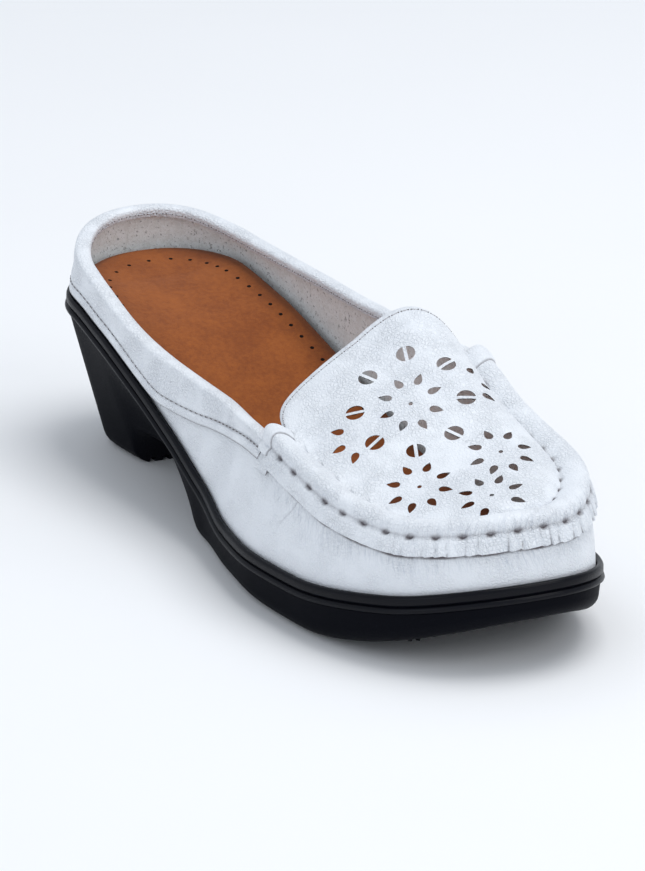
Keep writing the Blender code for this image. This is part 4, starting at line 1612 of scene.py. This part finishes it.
@dataclass
class CollarBand:
    """Folded strip of leather that binds the collar from keeper to keeper."""

    shoe: Shoe
    leather: float = 0.0012
    inner_turn: float = 0.0016
    roll_height: float = 0.0015
    inner_trim: float = 0.0007
    swell: float = 0.0006
    outer_rows: int = 24
    roll_rows: int = 10
    turn_rows: int = 3
    pitch: float = 0.0010
    stitch_height: float = 0.0028
    blend: float = 0.0022
    tab_length: float = 0.0095
    tab_width: float = 0.0030
    tab_lead: float = 0.0012
    tab_pitch: float = 0.0005

    def start(self, station: Station) -> float:
        """Share of the way up the wall where the strip's lower edge lies."""
        last = self.shoe.last
        edge = last.band_edge.at(station.share, station.side) * last.collar_height
        rim = station.rim + 2 * last.gap
        height = (edge + rim + math.hypot(edge - rim, self.blend)) / 2
        return (height - station.low) / (station.high - station.low)

    def section(self, station: Station) -> tuple[list[Vector], list[float]]:
        """Points from the lower edge, over the rolled top, to the inner turn.

        Args:
            station: Section of the shoe.

        Returns:
            The points, and how creased each is.
        """
        last = self.shoe.last
        start = self.start(station)
        thick = last.gap + self.leather
        wall = station.height() * (1.0 - start)
        points, creases = [], []
        for k in range(self.outer_rows):
            share = k / self.outer_rows
            rise = start + (1.0 - start) * share
            up = share * wall
            sewn = bump_at(up - self.stitch_height, 0.0005)
            padded = 0.0006 * smooth_step(up, 0.4 * wall, wall) - 0.0003 * bump_at(up - 0.62 * wall, 0.0022)
            points.append(station.wall(rise, thick - 0.00022 * sewn + padded))
            # Painted shade along the stitch line, and a painted shadow gap at the lower edge.
            creases.append(0.30 * sewn + 0.80 * bump_at(up, 0.0004))
        out, up = station.normal(1.0), station.tangent(1.0)
        top = station.wall(1.0) - out * (last.leather / 2)
        reach = last.leather / 2 + thick
        inner = reach - self.inner_trim
        for k in range(self.roll_rows + 1):
            turn = math.pi * k / self.roll_rows
            outer = (1.0 + math.cos(turn)) / 2
            across = inner + (reach + self.swell - inner) * outer
            points.append(top + out * across * math.cos(turn) + up * self.roll_height * math.sin(turn))
            creases.append(0.0)
        for k in range(1, self.turn_rows + 1):
            share = k / self.turn_rows
            points.append(top - out * inner - up * self.inner_turn * share)
            # Painted shade, darker as the strip turns in.
            creases.append(0.25 * share)
        return points, creases

    def build(self) -> bpy.types.Object:
        """Build the strip, its stitches and the squared end of its lower edge."""
        last = self.shoe.last
        end = last.plug_start - 2 * last.gap / last.length
        around = []
        for side in Side:
            angles = last.walk(side, 0.0, end, lambda to_toe: self.pitch)
            around.append([last.station(side, angle) for angle in angles])
        stations = around[0][::-1] + around[1][1:]
        sections = [self.section(station) for station in stations]

        def place(column: int, row: int) -> tuple[Vector, float]:
            """Point of the strip's face, and how creased it is."""
            points, creases = sections[column]
            return points[row], creases[row]

        bm = mapped_grid(len(stations) - 1, len(sections[0][0]) - 1, place)
        face_outwards(bm, Vector((last.length * 0.3, 0.0, 0.0)))
        finishes = (Finish.LEATHER, Finish.SUEDE, Finish.EDGE)
        piece = self.shoe.place("collar_band_leather", bm, Slot.LEATHER, finishes, ["collar_band"])
        add_wall(piece, self.leather - 0.0001)
        self.sew(stations)
        for side in Side:
            self.end_tab(side)
        return piece

    def sew(self, stations: list[Station]) -> None:
        """Stitches along the strip's lower edge, and inside its roll."""
        last = self.shoe.last
        lower, inner = [], []
        for station in stations:
            wall = station.height()
            rise = self.start(station) + self.stitch_height / wall
            lower.append(station.wall(rise, last.gap + self.leather - 0.00014))
            out, up = station.normal(1.0), station.tangent(1.0)
            trimmed = last.leather + last.gap + self.leather - self.inner_trim
            inner.append(station.wall(1.0) - out * trimmed - up * 0.0006)
        sewing = Stitches(self.shoe)
        sewing.line("band_stitches", lower, pitch=0.0028, length=0.0020, thick=0.8)
        sewing.line("lining_stitches", inner, pitch=0.0030, length=0.0019, thick=0.8)

    def end_tab(self, side: Side) -> None:
        """Squared end of the strip's lower edge, past the keeper and under the flange."""
        last = self.shoe.last
        first = last.plug_start - self.tab_lead / last.length
        end = first + self.tab_length / last.length
        angles = last.walk(side, first, end, lambda to_toe: self.tab_pitch)
        stations = [last.station(side, angle) for angle in angles]
        rows = 5

        def place(column: int, row: int) -> tuple[Vector, float]:
            """Point of the tab's face, and how creased it is."""
            station = stations[column]
            wall = station.height()
            width = self.tab_width * (1.0 - 0.45 * column / len(stations))
            low = 1.0 - (Plug.flange_width + width) / wall
            rise = low + (row / rows) * (self.tab_width * 0.9) / wall
            # Painted shade along the tab's lower edge.
            return station.wall(rise, last.gap + self.leather * 0.85), 0.25 * bump_at(row, 0.8)

        bm = mapped_grid(len(stations) - 1, rows, place)
        face_outwards(bm, Vector((last.length * 0.6, 0.0, 0.0)))
        finishes = (Finish.LEATHER, Finish.SUEDE, Finish.EDGE)
        name = f"band_end_{side.name.lower()}"
        piece = self.shoe.place(name, bm, Slot.LEATHER, finishes)
        add_wall(piece, self.leather * 0.8)


@dataclass
class Keeper:
    """Small strap wrapped over the end of the roll, with painted shade along both its edges."""

    shoe: Shoe
    plug: Plug
    side: Side
    width: float = 0.0078
    lead: float = 0.0022
    leather: float = 0.0011
    columns: int = 22

    def offset(self, path: list[Vector], out: Vector, lift: float) -> list[Vector]:
        """Path moved off the roll, in its own section.

        Args:
            path: Points from the flange to the inner crease.
            out: Outward direction of the section.
            lift: Distance.

        Returns:
            The moved points.
        """
        moved = []
        for i, point in enumerate(path):
            tangent = path[min(i + 1, len(path) - 1)] - path[max(i - 1, 0)]
            normal = out * tangent.z - UP * tangent.dot(out)
            moved.append(point + normal.normalized() * lift)
        return moved

    def build(self) -> bpy.types.Object:
        """Build the strap."""
        last = self.shoe.last
        start = last.plug_start - self.lead / last.length
        end = start + self.width / last.length
        angles = last.walk(self.side, start, end, lambda _: self.width / self.columns)
        rows = []
        for k, angle in enumerate(angles):
            station = last.station(self.side, angle)
            points, _ = self.plug.section(station)
            share = k / (len(angles) - 1)
            # Painted shade along both edges, where they sink into the roll.
            edge_shade = bump_at(share, 0.07) + bump_at(share - 1.0, 0.07)
            lift = 0.0015 * math.sin(math.pi * share) ** 0.35 - 0.0004
            moved = self.offset(points[self.plug.flange_rows - 3 :], station.out, lift)
            rows.append([(point, min(1.0, 0.85 * edge_shade)) for point in moved])
        count = len(rows[0]) - 1

        bm = mapped_grid(len(rows) - 1, count, lambda column, row: rows[column][row])
        middle = last.station(self.side, angles[len(angles) // 2])
        face_outwards(bm, middle.wall(1.0) - middle.out * 0.004 - UP * 0.004)
        within = [vert for vert in bm.verts if not vert.is_boundary]
        axes = {"use_axis_x": True, "use_axis_y": True, "use_axis_z": True}
        bmesh.ops.smooth_vert(bm, verts=within, factor=0.5, **axes)
        name = f"keeper_{self.side.name.lower()}_leather"
        finishes = (Finish.VAMP, Finish.SUEDE, Finish.EDGE)
        piece = self.shoe.place(name, bm, Slot.LEATHER, finishes, [f"keeper_{self.side.name.lower()}"])
        add_wall(piece, self.leather)
        return piece


@dataclass
class Footbed:
    """Tan footbed, dished under the heel, with a row of pinholes inside its edge."""

    shoe: Shoe
    inset: float = 0.0060
    heel_lift: float = 0.0048
    toe_lift: float = 0.0022
    dish: float = 0.0030
    hole: float = 0.0013
    hole_pitch: float = 0.0057
    hole_inset: float = 0.0058
    heel_inset: float = 0.0024
    stations: int = 130
    across: int = 46
    hole_depth: float = 0.0056
    hole_sink: float = 0.0008
    hole_span: tuple[float, float] = (0.0, 0.60)

    def lift(self, share: float) -> float:
        """Height of the edge over the rim."""
        return self.heel_lift + (self.toe_lift - self.heel_lift) * min(1.0, share / 0.5)

    def sink(self, share: float, across: float) -> float:
        """Depth of the dish at a share of the way across, from -1 to 1."""
        depth = self.dish * min(1.0, share / 0.1) * max(0.0, 1.0 - share / 0.62) ** 0.7
        return depth * (1.0 - across * across)

    def edge(self, side: Side, angle: float) -> list[tuple[Vector, float]]:
        """Edge of one side, from its underside to the start of the dish."""
        last = self.shoe.last
        station = last.station(side, angle)
        top = station.rim + self.lift(station.share)
        # The last number of each row is painted shade, darker towards the edge's underside.
        rows = (
            (0.0006, station.low, 1.0),
            (0.0, top - 0.0013, 0.9),
            (0.0001, top - 0.0008, 0.8),
            (0.0004, top - 0.0003, 0.65),
            (0.0009, top, 0.4),
        )
        made = []
        for inset, height, dark in rows:
            point = station.flat - station.out * (self.inset + inset)
            made.append((Vector((point.x, point.y, height)), dark))
        return made

    def build(self) -> bpy.types.Object:
        """Build the footbed and its pinholes."""
        last = self.shoe.last
        rings = []
        for i in range(self.stations + 1):
            angle = math.pi * i / self.stations
            share = (1.0 - math.cos(angle)) / 2.0
            left, right = (self.edge(side, angle) for side in Side)
            top = []
            for j in range(1, self.across):
                place = j / self.across
                point = left[-1][0].lerp(right[-1][0], place)
                point.z -= self.sink(share, 2.0 * place - 1.0)
                away = min(place, 1.0 - place) * (right[-1][0] - left[-1][0]).length
                # Painted shade on the top, falling off away from the edge.
                top.append((point, 0.55 * bump_at(away, 0.0016) + 0.20 * bump_at(away, 0.008)))
            rings.append(left + top + right[::-1] + [left[0]])

        bm = mapped_grid(self.stations, len(rings[0]) - 1, lambda column, row: rings[column][row])
        bmesh.ops.recalc_face_normals(bm, faces=bm.faces)
        piece = self.shoe.place("footbed_leather", bm, Slot.FOOTBED, [Finish.FOOTBED, Finish.PIN], ["insole"])
        cut(piece, self.pins(last))
        piece.data.set_sharp_from_angle(angle=math.radians(50.0))
        return piece

    def pin_pitch(self, to_toe: float) -> float:
        """Spacing of the pinholes along the outline, wider round the heel."""
        return self.hole_pitch * (1.0 + 1.2 * smooth_step(to_toe, 0.240, 0.268))

    def pins(self, last: Last) -> bpy.types.Object:
        """Cutter of the row of pinholes."""
        bm = bmesh.new()
        for side in Side:
            angles = last.walk(side, *self.hole_span, self.pin_pitch)
            for angle in angles[1:] if side is Side.LATERAL else angles:
                station = last.station(side, angle)
                back = 1.0 - smooth_step(station.share, 0.02, 0.20)
                inset = self.inset + self.hole_inset + self.heel_inset * back
                spot = station.flat - station.out * inset
                spot.z = station.rim + self.lift(station.share) - self.hole_sink
                place = Matrix.Translation(spot)
                bmesh.ops.create_cone(
                    bm,
                    cap_ends=True,
                    segments=12,
                    radius1=self.hole / 2,
                    radius2=self.hole / 2,
                    depth=self.hole_depth,
                    matrix=place,
                )
        # The pinholes' walls take the near-black finish: painted shade inside the holes.
        for face in bm.faces:
            face.material_index = 1
        cutter = self.shoe.cutter("pins", bm)
        for finish in (Finish.FOOTBED, Finish.PIN):
            cutter.data.materials.append(finish.material())
        return cutter


@dataclass
class SoleUnit:
    """Moulded sole: wedge heel, bead, lip, cup and tread."""

    shoe: Shoe
    lip_height: float = 0.0030
    bead_height: float = 0.0024
    band_step: float = 0.0012
    edge_radius: float = 0.0042
    tread_depth: float = 0.0014
    border: float = 0.0036
    stations: int = 190
    across: int = 10
    lug_length: float = 0.0072
    lug_width: float = 0.0040
    lugs: int = 5
    lug_growth: float = 0.08
    lug_span: tuple[float, float] = (0.56, 0.88)
    recess_start: float = 0.088
    block_length: float = 0.0062
    block_gap: float = 0.0020
    heel_blocks: int = 8
    forefoot_blocks: int = 11
    rib_pitch: float = 0.0024
    rib_width: float = 0.0011
    rib_step: float = 0.0012
    rib_reach: float = 0.905
    recess_end: float = 0.955
    front_clear: float = 0.0020
    rear_clear: float = 0.0035
    breast_edge: float = 0.0008
    breast_shares: tuple[float, ...] = (0.0, 0.04, 0.12, 0.25, 0.45, 0.70, 1.0)

    def profile(self, side: Side, share: float) -> list[tuple[float, float, float]]:
        """Side of the sole from its underside to the cup.

        Args:
            side: Side of the shoe.
            share: Share of the length.

        Returns:
            Inset, height and dustiness of each row.
        """
        last = self.shoe.last
        base, rim = last.base_height(share), last.rim_height(share)
        top = rim - self.lip_height - self.bead_height
        rows = []
        for k in range(7):
            turn = math.pi / 2 * k / 6
            height = base + self.edge_radius * (1.0 - math.cos(turn))
            inset = last.sole_inset(side, share, height) + self.edge_radius * (1.0 - math.sin(turn))
            rows.append((inset, height, 0.35 + 0.1 * k))
        for k in range(1, 9):
            height = base + self.edge_radius + (top - base - self.edge_radius) * k / 8
            rows.append((last.sole_inset(side, share, height), height, 1.0))
        step, bead = self.band_step, self.bead_height
        rows.append((step + 0.0003, top + 0.0002, 0.1))
        for k in range(7):
            turn = math.pi * (k / 6 - 0.5)
            height = top + bead * (0.5 + 0.42 * math.sin(turn))
            rows.append((step * (1.0 - 0.95 * math.cos(turn)), height, 0.0))
        rows.append((step * 0.95, rim - self.lip_height - 0.0001, 0.0))
        rows.append((step * 0.70, rim - self.lip_height + 0.0002, 0.0))
        for k in range(7):
            turn = math.pi / 2 * k / 6
            rows.append((
                step * 0.40 + 0.0009 * (1.0 - math.cos(turn)),
                rim - 0.0011 + 0.0011 * math.sin(turn) - (0.0012 if k == 0 else 0.0),
                0.0,
            ))
        rows.append((last.lip_width * 0.80, rim, 0.0))
        rows.append((last.lip_width - 0.0001, rim - 0.0002, 0.0))
        rows.append((last.lip_width, rim - 0.0008, 0.0))
        rows.append((last.lip_width, rim - last.cup_depth, 0.0))
        return rows

    def build(self) -> bpy.types.Object:
        """Build the sole with its tread."""
        last = self.shoe.last
        extra = [last.heel_breast - self.breast_edge]
        extra += [last.heel_breast + share * last.breast_fillet for share in self.breast_shares]
        angles = sorted(
            [math.pi * i / self.stations for i in range(self.stations + 1)]
            + [share_angle(x / last.length) for x in extra]
        )
        rings = [self.ring(angle) for angle in angles]
        bm = mapped_grid(len(rings) - 1, len(rings[0]) - 1, lambda column, row: rings[column][row])
        bmesh.ops.recalc_face_normals(bm, faces=bm.faces)
        piece = self.shoe.place("sole_moulding", bm, Slot.SOLE, [Finish.SOLE], ["sole_unit"])
        for cutter in (self.forefoot_recess(), self.heel_recess(), self.grooves()):
            cut(piece, cutter)
        piece.data.shade_smooth()
        piece.data.set_sharp_from_angle(angle=math.radians(38.0))
        self.ribs(BVHTree.FromObject(piece, bpy.context.evaluated_depsgraph_get()))
        return piece

    def ring(self, angle: float) -> list[tuple[Vector, float]]:
        """Whole section across the sole at a station.

        Args:
            angle: Station angle.

        Returns:
            Closed ring of points with their dustiness.
        """
        last = self.shoe.last
        sides = []
        for side in Side:
            station = last.station(side, angle)
            rows = []
            for inset, height, dust in self.profile(side, station.share):
                point = station.flat - station.out * inset
                rows.append((Vector((point.x, point.y, height)), dust))
            sides.append(rows)
        lateral, medial = sides
        cup = [
            (lateral[-1][0].lerp(medial[-1][0], j / self.across), 0.0) for j in range(1, self.across)
        ]
        base = [
            (medial[0][0].lerp(lateral[0][0], j / self.across), 0.2) for j in range(1, self.across)
        ]
        return lateral + cup + medial[::-1] + base + [lateral[0]]

    def tread_edge(self, side: Side, angle: float, border: float) -> Vector:
        """Point inside the edge of the base by a border."""
        last = self.shoe.last
        station = last.station(side, angle)
        base = last.base_height(station.share)
        inset = last.sole_inset(side, station.share, base) + self.edge_radius + border
        point = station.flat - station.out * inset
        return Vector((point.x, point.y, base))

    def spans(self) -> tuple[tuple[float, float], tuple[float, float]]:
        """Ends of the forefoot's recess and of the heel's, as shares of the length."""
        last = self.shoe.last
        front = (last.arch_end + self.block_length + self.front_clear) / last.length
        rear = (last.heel_breast - self.block_length - self.rear_clear) / last.length
        return (front, self.recess_end), (self.recess_start, rear)

    def recess(self, name: str, start: float, end: float) -> bpy.types.Object:
        """Cutter that sinks the floor of the tread.

        Args:
            name: Name of the cutter.
            start: First share of the length.
            end: Last share.

        Returns:
            The cutter, in the frame's axes.
        """
        steps = 60
        first, last_angle = share_angle(start), share_angle(end)
        rungs = []
        for i in range(steps + 1):
            angle = first + (last_angle - first) * i / steps
            rungs.append([self.tread_edge(side, angle, self.border) for side in Side])

        def place(column: int, row: int) -> tuple[Vector, float]:
            """Point of the recess's floor."""
            return rungs[column][row] + UP * self.tread_depth, 0.0

        bm = mapped_grid(steps, 1, place)
        moved = bmesh.ops.extrude_face_region(bm, geom=bm.faces[:], use_keep_orig=True)["geom"]
        for item in moved:
            if isinstance(item, bmesh.types.BMVert):
                item.co.z = -self.tread_depth
        bmesh.ops.recalc_face_normals(bm, faces=bm.faces)
        return self.shoe.cutter(name, bm)

    def forefoot_recess(self) -> bpy.types.Object:
        """Recess of the forefoot, with its drop-shaped lugs left standing."""
        last = self.shoe.last
        cutter = self.recess("forefoot_recess", *self.spans()[0])
        bm = bmesh.new()
        for side in Side:
            for lug in range(self.lugs):
                grow = 1.0 + self.lug_growth * lug
                low, high = self.lug_span
                angle = share_angle(low + (high - low) * lug / (self.lugs - 1))
                spot = self.tread_edge(side, angle, self.border + self.lug_length * grow * 0.8)
                out = last.plan_normal(side, angle)
                turn = math.atan2(out.y, out.x)
                shape = Shape((0.0, 0.0), 0.0, self.lug_length * grow, self.lug_width * grow, "drop")
                place = Matrix.Translation((spot.x, spot.y, 0.0)) @ Matrix.Rotation(turn, 4, "Z")
                shape.add(bm, place, last.heel_height / 2)
        bmesh.ops.recalc_face_normals(bm, faces=bm.faces)
        cut(cutter, self.shoe.cutter("lug_cores", bm))
        return cutter

    def heel_recess(self) -> bpy.types.Object:
        """Recess of the heel behind its row of blocks."""
        return self.recess("heel_recess", *self.spans()[1])

    def grooves(self) -> bpy.types.Object:
        """Grooves between the blocks along the heel breast and the forefoot's rear edge."""
        last = self.shoe.last
        bm = bmesh.new()
        rows = (
            (last.heel_breast - self.block_length, last.heel_breast + 0.004, self.heel_blocks),
            (last.arch_end - 0.004, last.arch_end + self.block_length, self.forefoot_blocks),
        )
        for start, end, blocks in rows:
            angle = share_angle((start + end) / 2 / last.length)
            low, high = (self.tread_edge(side, angle, -self.edge_radius).y for side in Side)
            for i in range(1, blocks):
                spot = Vector(((start + end) / 2, low + (high - low) * i / blocks, 0.0))
                size = Matrix.Diagonal((end - start, self.block_gap, 2 * self.tread_depth, 1.0))
                bmesh.ops.create_cube(bm, size=1.0, matrix=Matrix.Translation(spot) @ size)
        return self.shoe.cutter("block_grooves", bm)

    def ribs(self, tree: BVHTree) -> None:
        """Fine slanting ribs on the floor of both recesses, mirrored about the middle line.

        Args:
            tree: Search tree of the finished sole.
        """
        last = self.shoe.last
        bm = bmesh.new()
        bm.verts.layers.float.new(CREASE)
        for start, end in self.spans():
            first, final = start * last.length, end * last.length
            count = int((final - first) / self.rib_pitch) + 12
            for i in range(count):
                for side in Side:
                    path = self.rib_path(tree, side, first + (i - 11) * self.rib_pitch * 1.35, (first, final))
                    if len(path) > 2:
                        self.rib(bm, path)
        self.shoe.place("tread_ribs", bm, Slot.SOLE, [Finish.SOLE])

    def rib_path(self, tree: BVHTree, side: Side, start: float, span: tuple[float, float]) -> list[Vector]:
        """Points of one rib on the recess's floor, forwards and outwards from the middle line.

        Args:
            tree: Search tree of the finished sole.
            side: Side of the middle line.
            start: Where the rib leaves the middle line.
            span: Rear and front ends of the recess.

        Returns:
            The points, which may be none.
        """
        last = self.shoe.last
        made = []
        for i in range(40):
            x = start + i * self.rib_step
            if not span[0] + self.rib_width / 2 < x < span[1] - self.rib_width / 2:
                continue
            angle = share_angle(x / last.length)
            edges = {s: self.tread_edge(s, angle, self.border).y for s in Side}
            y = sum(edges.values()) / 2 + side.value * i * self.rib_step
            if side.value * (edges[side] - y) < self.rib_width / 2:
                break
            if x > self.rib_reach * last.length:
                break
            hit, _, _, _ = tree.ray_cast(Vector((x, y, -1.0)) + self.shoe.origin, UP)
            if hit is None or hit.z - last.base_height(x / last.length) < 0.5 * self.tread_depth:
                break
            made.append(hit - self.shoe.origin)
        return made

    def rib(self, bm: bmesh.types.BMesh, reach: list[Vector]) -> None:
        """Add one rib.

        Args:
            bm: Mesh that it is added to.
            reach: Points of the floor under it.
        """
        steps = max(1, len(reach) // 3)
        path = [reach[round(k * (len(reach) - 1) / steps)] for k in range(steps + 1)]
        along = (path[-1] - path[0]).normalized()
        across = Vector((-along.y, along.x, 0.0)).normalized() * self.rib_width / 2
        made = bmesh.ops.create_grid(bm, x_segments=steps, y_segments=1, size=0.5)["verts"]
        for vert in made:
            column, row = round((vert.co.x + 0.5) * steps), round(vert.co.y + 0.5)
            vert.co = path[column] + across * (2 * row - 1) + UP * 0.0001
        faces = list({face for vert in made for face in vert.link_faces})
        moved = bmesh.ops.extrude_face_region(bm, geom=faces, use_keep_orig=True)["geom"]
        top = [item for item in moved if isinstance(item, bmesh.types.BMVert)]
        bmesh.ops.translate(bm, verts=top, vec=-UP * self.tread_depth * 0.75)
        every = {face for vert in [*made, *top] for face in vert.link_faces}
        bmesh.ops.recalc_face_normals(bm, faces=list(every))


class Panel(NamedTuple):
    """Soft square light: its place, side in metres, power in watts and colour."""

    name: str
    place: tuple[float, float, float]
    size: float
    power: float
    tint: tuple[float, float, float]


@dataclass
class Studio:
    """Pale floor, soft lights and the camera at the photograph's angle."""

    shoe: Shoe
    azimuth: float = 61.51
    elevation: float = 19.98
    roll: float = -0.7
    distance: float = 1.690
    target: tuple[float, float, float] = (0.124, 0.0, 0.025)
    aim: tuple[float, float, float] = (0.1265, 0.0, 0.0315)
    lens: float = 240.0
    clip: tuple[float, float] = (0.05, 20.0)
    sensor: float = 36.0
    floor_reach: float = 6.0
    sky: tuple[float, float, float] = (0.86, 0.92, 1.0)
    sky_strength: float = 0.70
    panels = (
        Panel("top_panel", (0.10, 0.35, 1.30), 0.8, 7.6, (1.0, 1.0, 1.0)),
        Panel("toe_panel", (1.20, 0.45, 0.80), 0.7, 2.6, (1.0, 0.99, 0.97)),
        Panel("side_panel", (0.35, -1.40, 0.70), 0.9, 2.0, (0.88, 0.93, 1.0)),
    )

    def camera(self) -> None:
        """Create the camera and set it as the scene's."""
        azimuth, elevation = math.radians(self.azimuth), math.radians(self.elevation)
        back = Vector((
            math.sin(azimuth) * math.cos(elevation),
            -math.cos(azimuth) * math.cos(elevation),
            math.sin(elevation),
        ))
        data = bpy.data.cameras.new("camera")
        data.lens = self.lens
        data.sensor_width = self.sensor
        data.clip_start, data.clip_end = self.clip
        camera = bpy.data.objects.new("camera", data)
        camera.location = Vector(self.target) + self.shoe.origin + back * self.distance
        look = Vector(self.aim) + self.shoe.origin - camera.location
        camera.rotation_mode = "QUATERNION"
        tilt = Matrix.Rotation(math.radians(-self.roll), 3, "Z").to_quaternion()
        camera.rotation_quaternion = look.to_track_quat("-Z", "Y") @ tilt
        bpy.context.scene.collection.objects.link(camera)
        bpy.context.scene.camera = camera

    def floor(self) -> None:
        """Pale floor that reaches past the view."""
        bm = bmesh.new()
        bmesh.ops.create_grid(bm, x_segments=4, y_segments=4, size=self.floor_reach)
        mesh = bpy.data.meshes.new("floor")
        bm.to_mesh(mesh)
        bm.free()
        floor = bpy.data.objects.new("floor", mesh)
        graph = Graph("pale_floor")
        graph.set(
            base_color=graph.mix(graph.noise(9.0), (0.90, 0.90, 0.905, 1.0), (0.92, 0.92, 0.925, 1.0)),
            roughness=0.75,
            specular_ior_level=0.1,
        )
        mesh.materials.append(graph.material)
        bpy.context.scene.collection.objects.link(floor)
        floor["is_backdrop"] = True

    def light(self, panel: Panel) -> None:
        """Add a soft panel that faces the shoe."""
        data = bpy.data.lights.new(panel.name, "AREA")
        data.shape = "SQUARE"
        data.size = panel.size
        data.energy = panel.power
        data.color = panel.tint
        lamp = bpy.data.objects.new(panel.name, data)
        lamp.location = panel.place
        lamp.rotation_mode = "QUATERNION"
        lamp.rotation_quaternion = (-Vector(panel.place)).to_track_quat("-Z", "Y")
        bpy.context.scene.collection.objects.link(lamp)

    def build(self) -> None:
        """Set up the whole studio."""
        scene = bpy.context.scene
        scene.view_settings.view_transform = "Standard"
        world = bpy.data.worlds.new("studio")
        world.use_nodes = True
        background = next(n for n in world.node_tree.nodes if n.type == "BACKGROUND")
        background.inputs["Color"].default_value = opaque(self.sky)
        background.inputs["Strength"].default_value = self.sky_strength
        scene.world = world
        self.floor()
        for panel in self.panels:
            self.light(panel)
        self.camera()


def main() -> None:
    """Build every piece of the shoe on its frame."""
    logging.basicConfig(level=logging.INFO, format="%(name)s %(message)s")
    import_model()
    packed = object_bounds()
    shoe = Shoe(Last())
    Studio(shoe).build()
    plug = Plug(shoe)
    SoleUnit(shoe).build()
    Footbed(shoe).build()
    Upper(shoe).build()
    plug.build()
    CollarBand(shoe).build()
    for side in Side:
        Keeper(shoe, plug, side).build()
    sizes = {
        name: [list(corner) for corner in box]
        for name, box in (("packed", packed), ("visual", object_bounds()))
    }


if __name__ == "__main__":
    main()
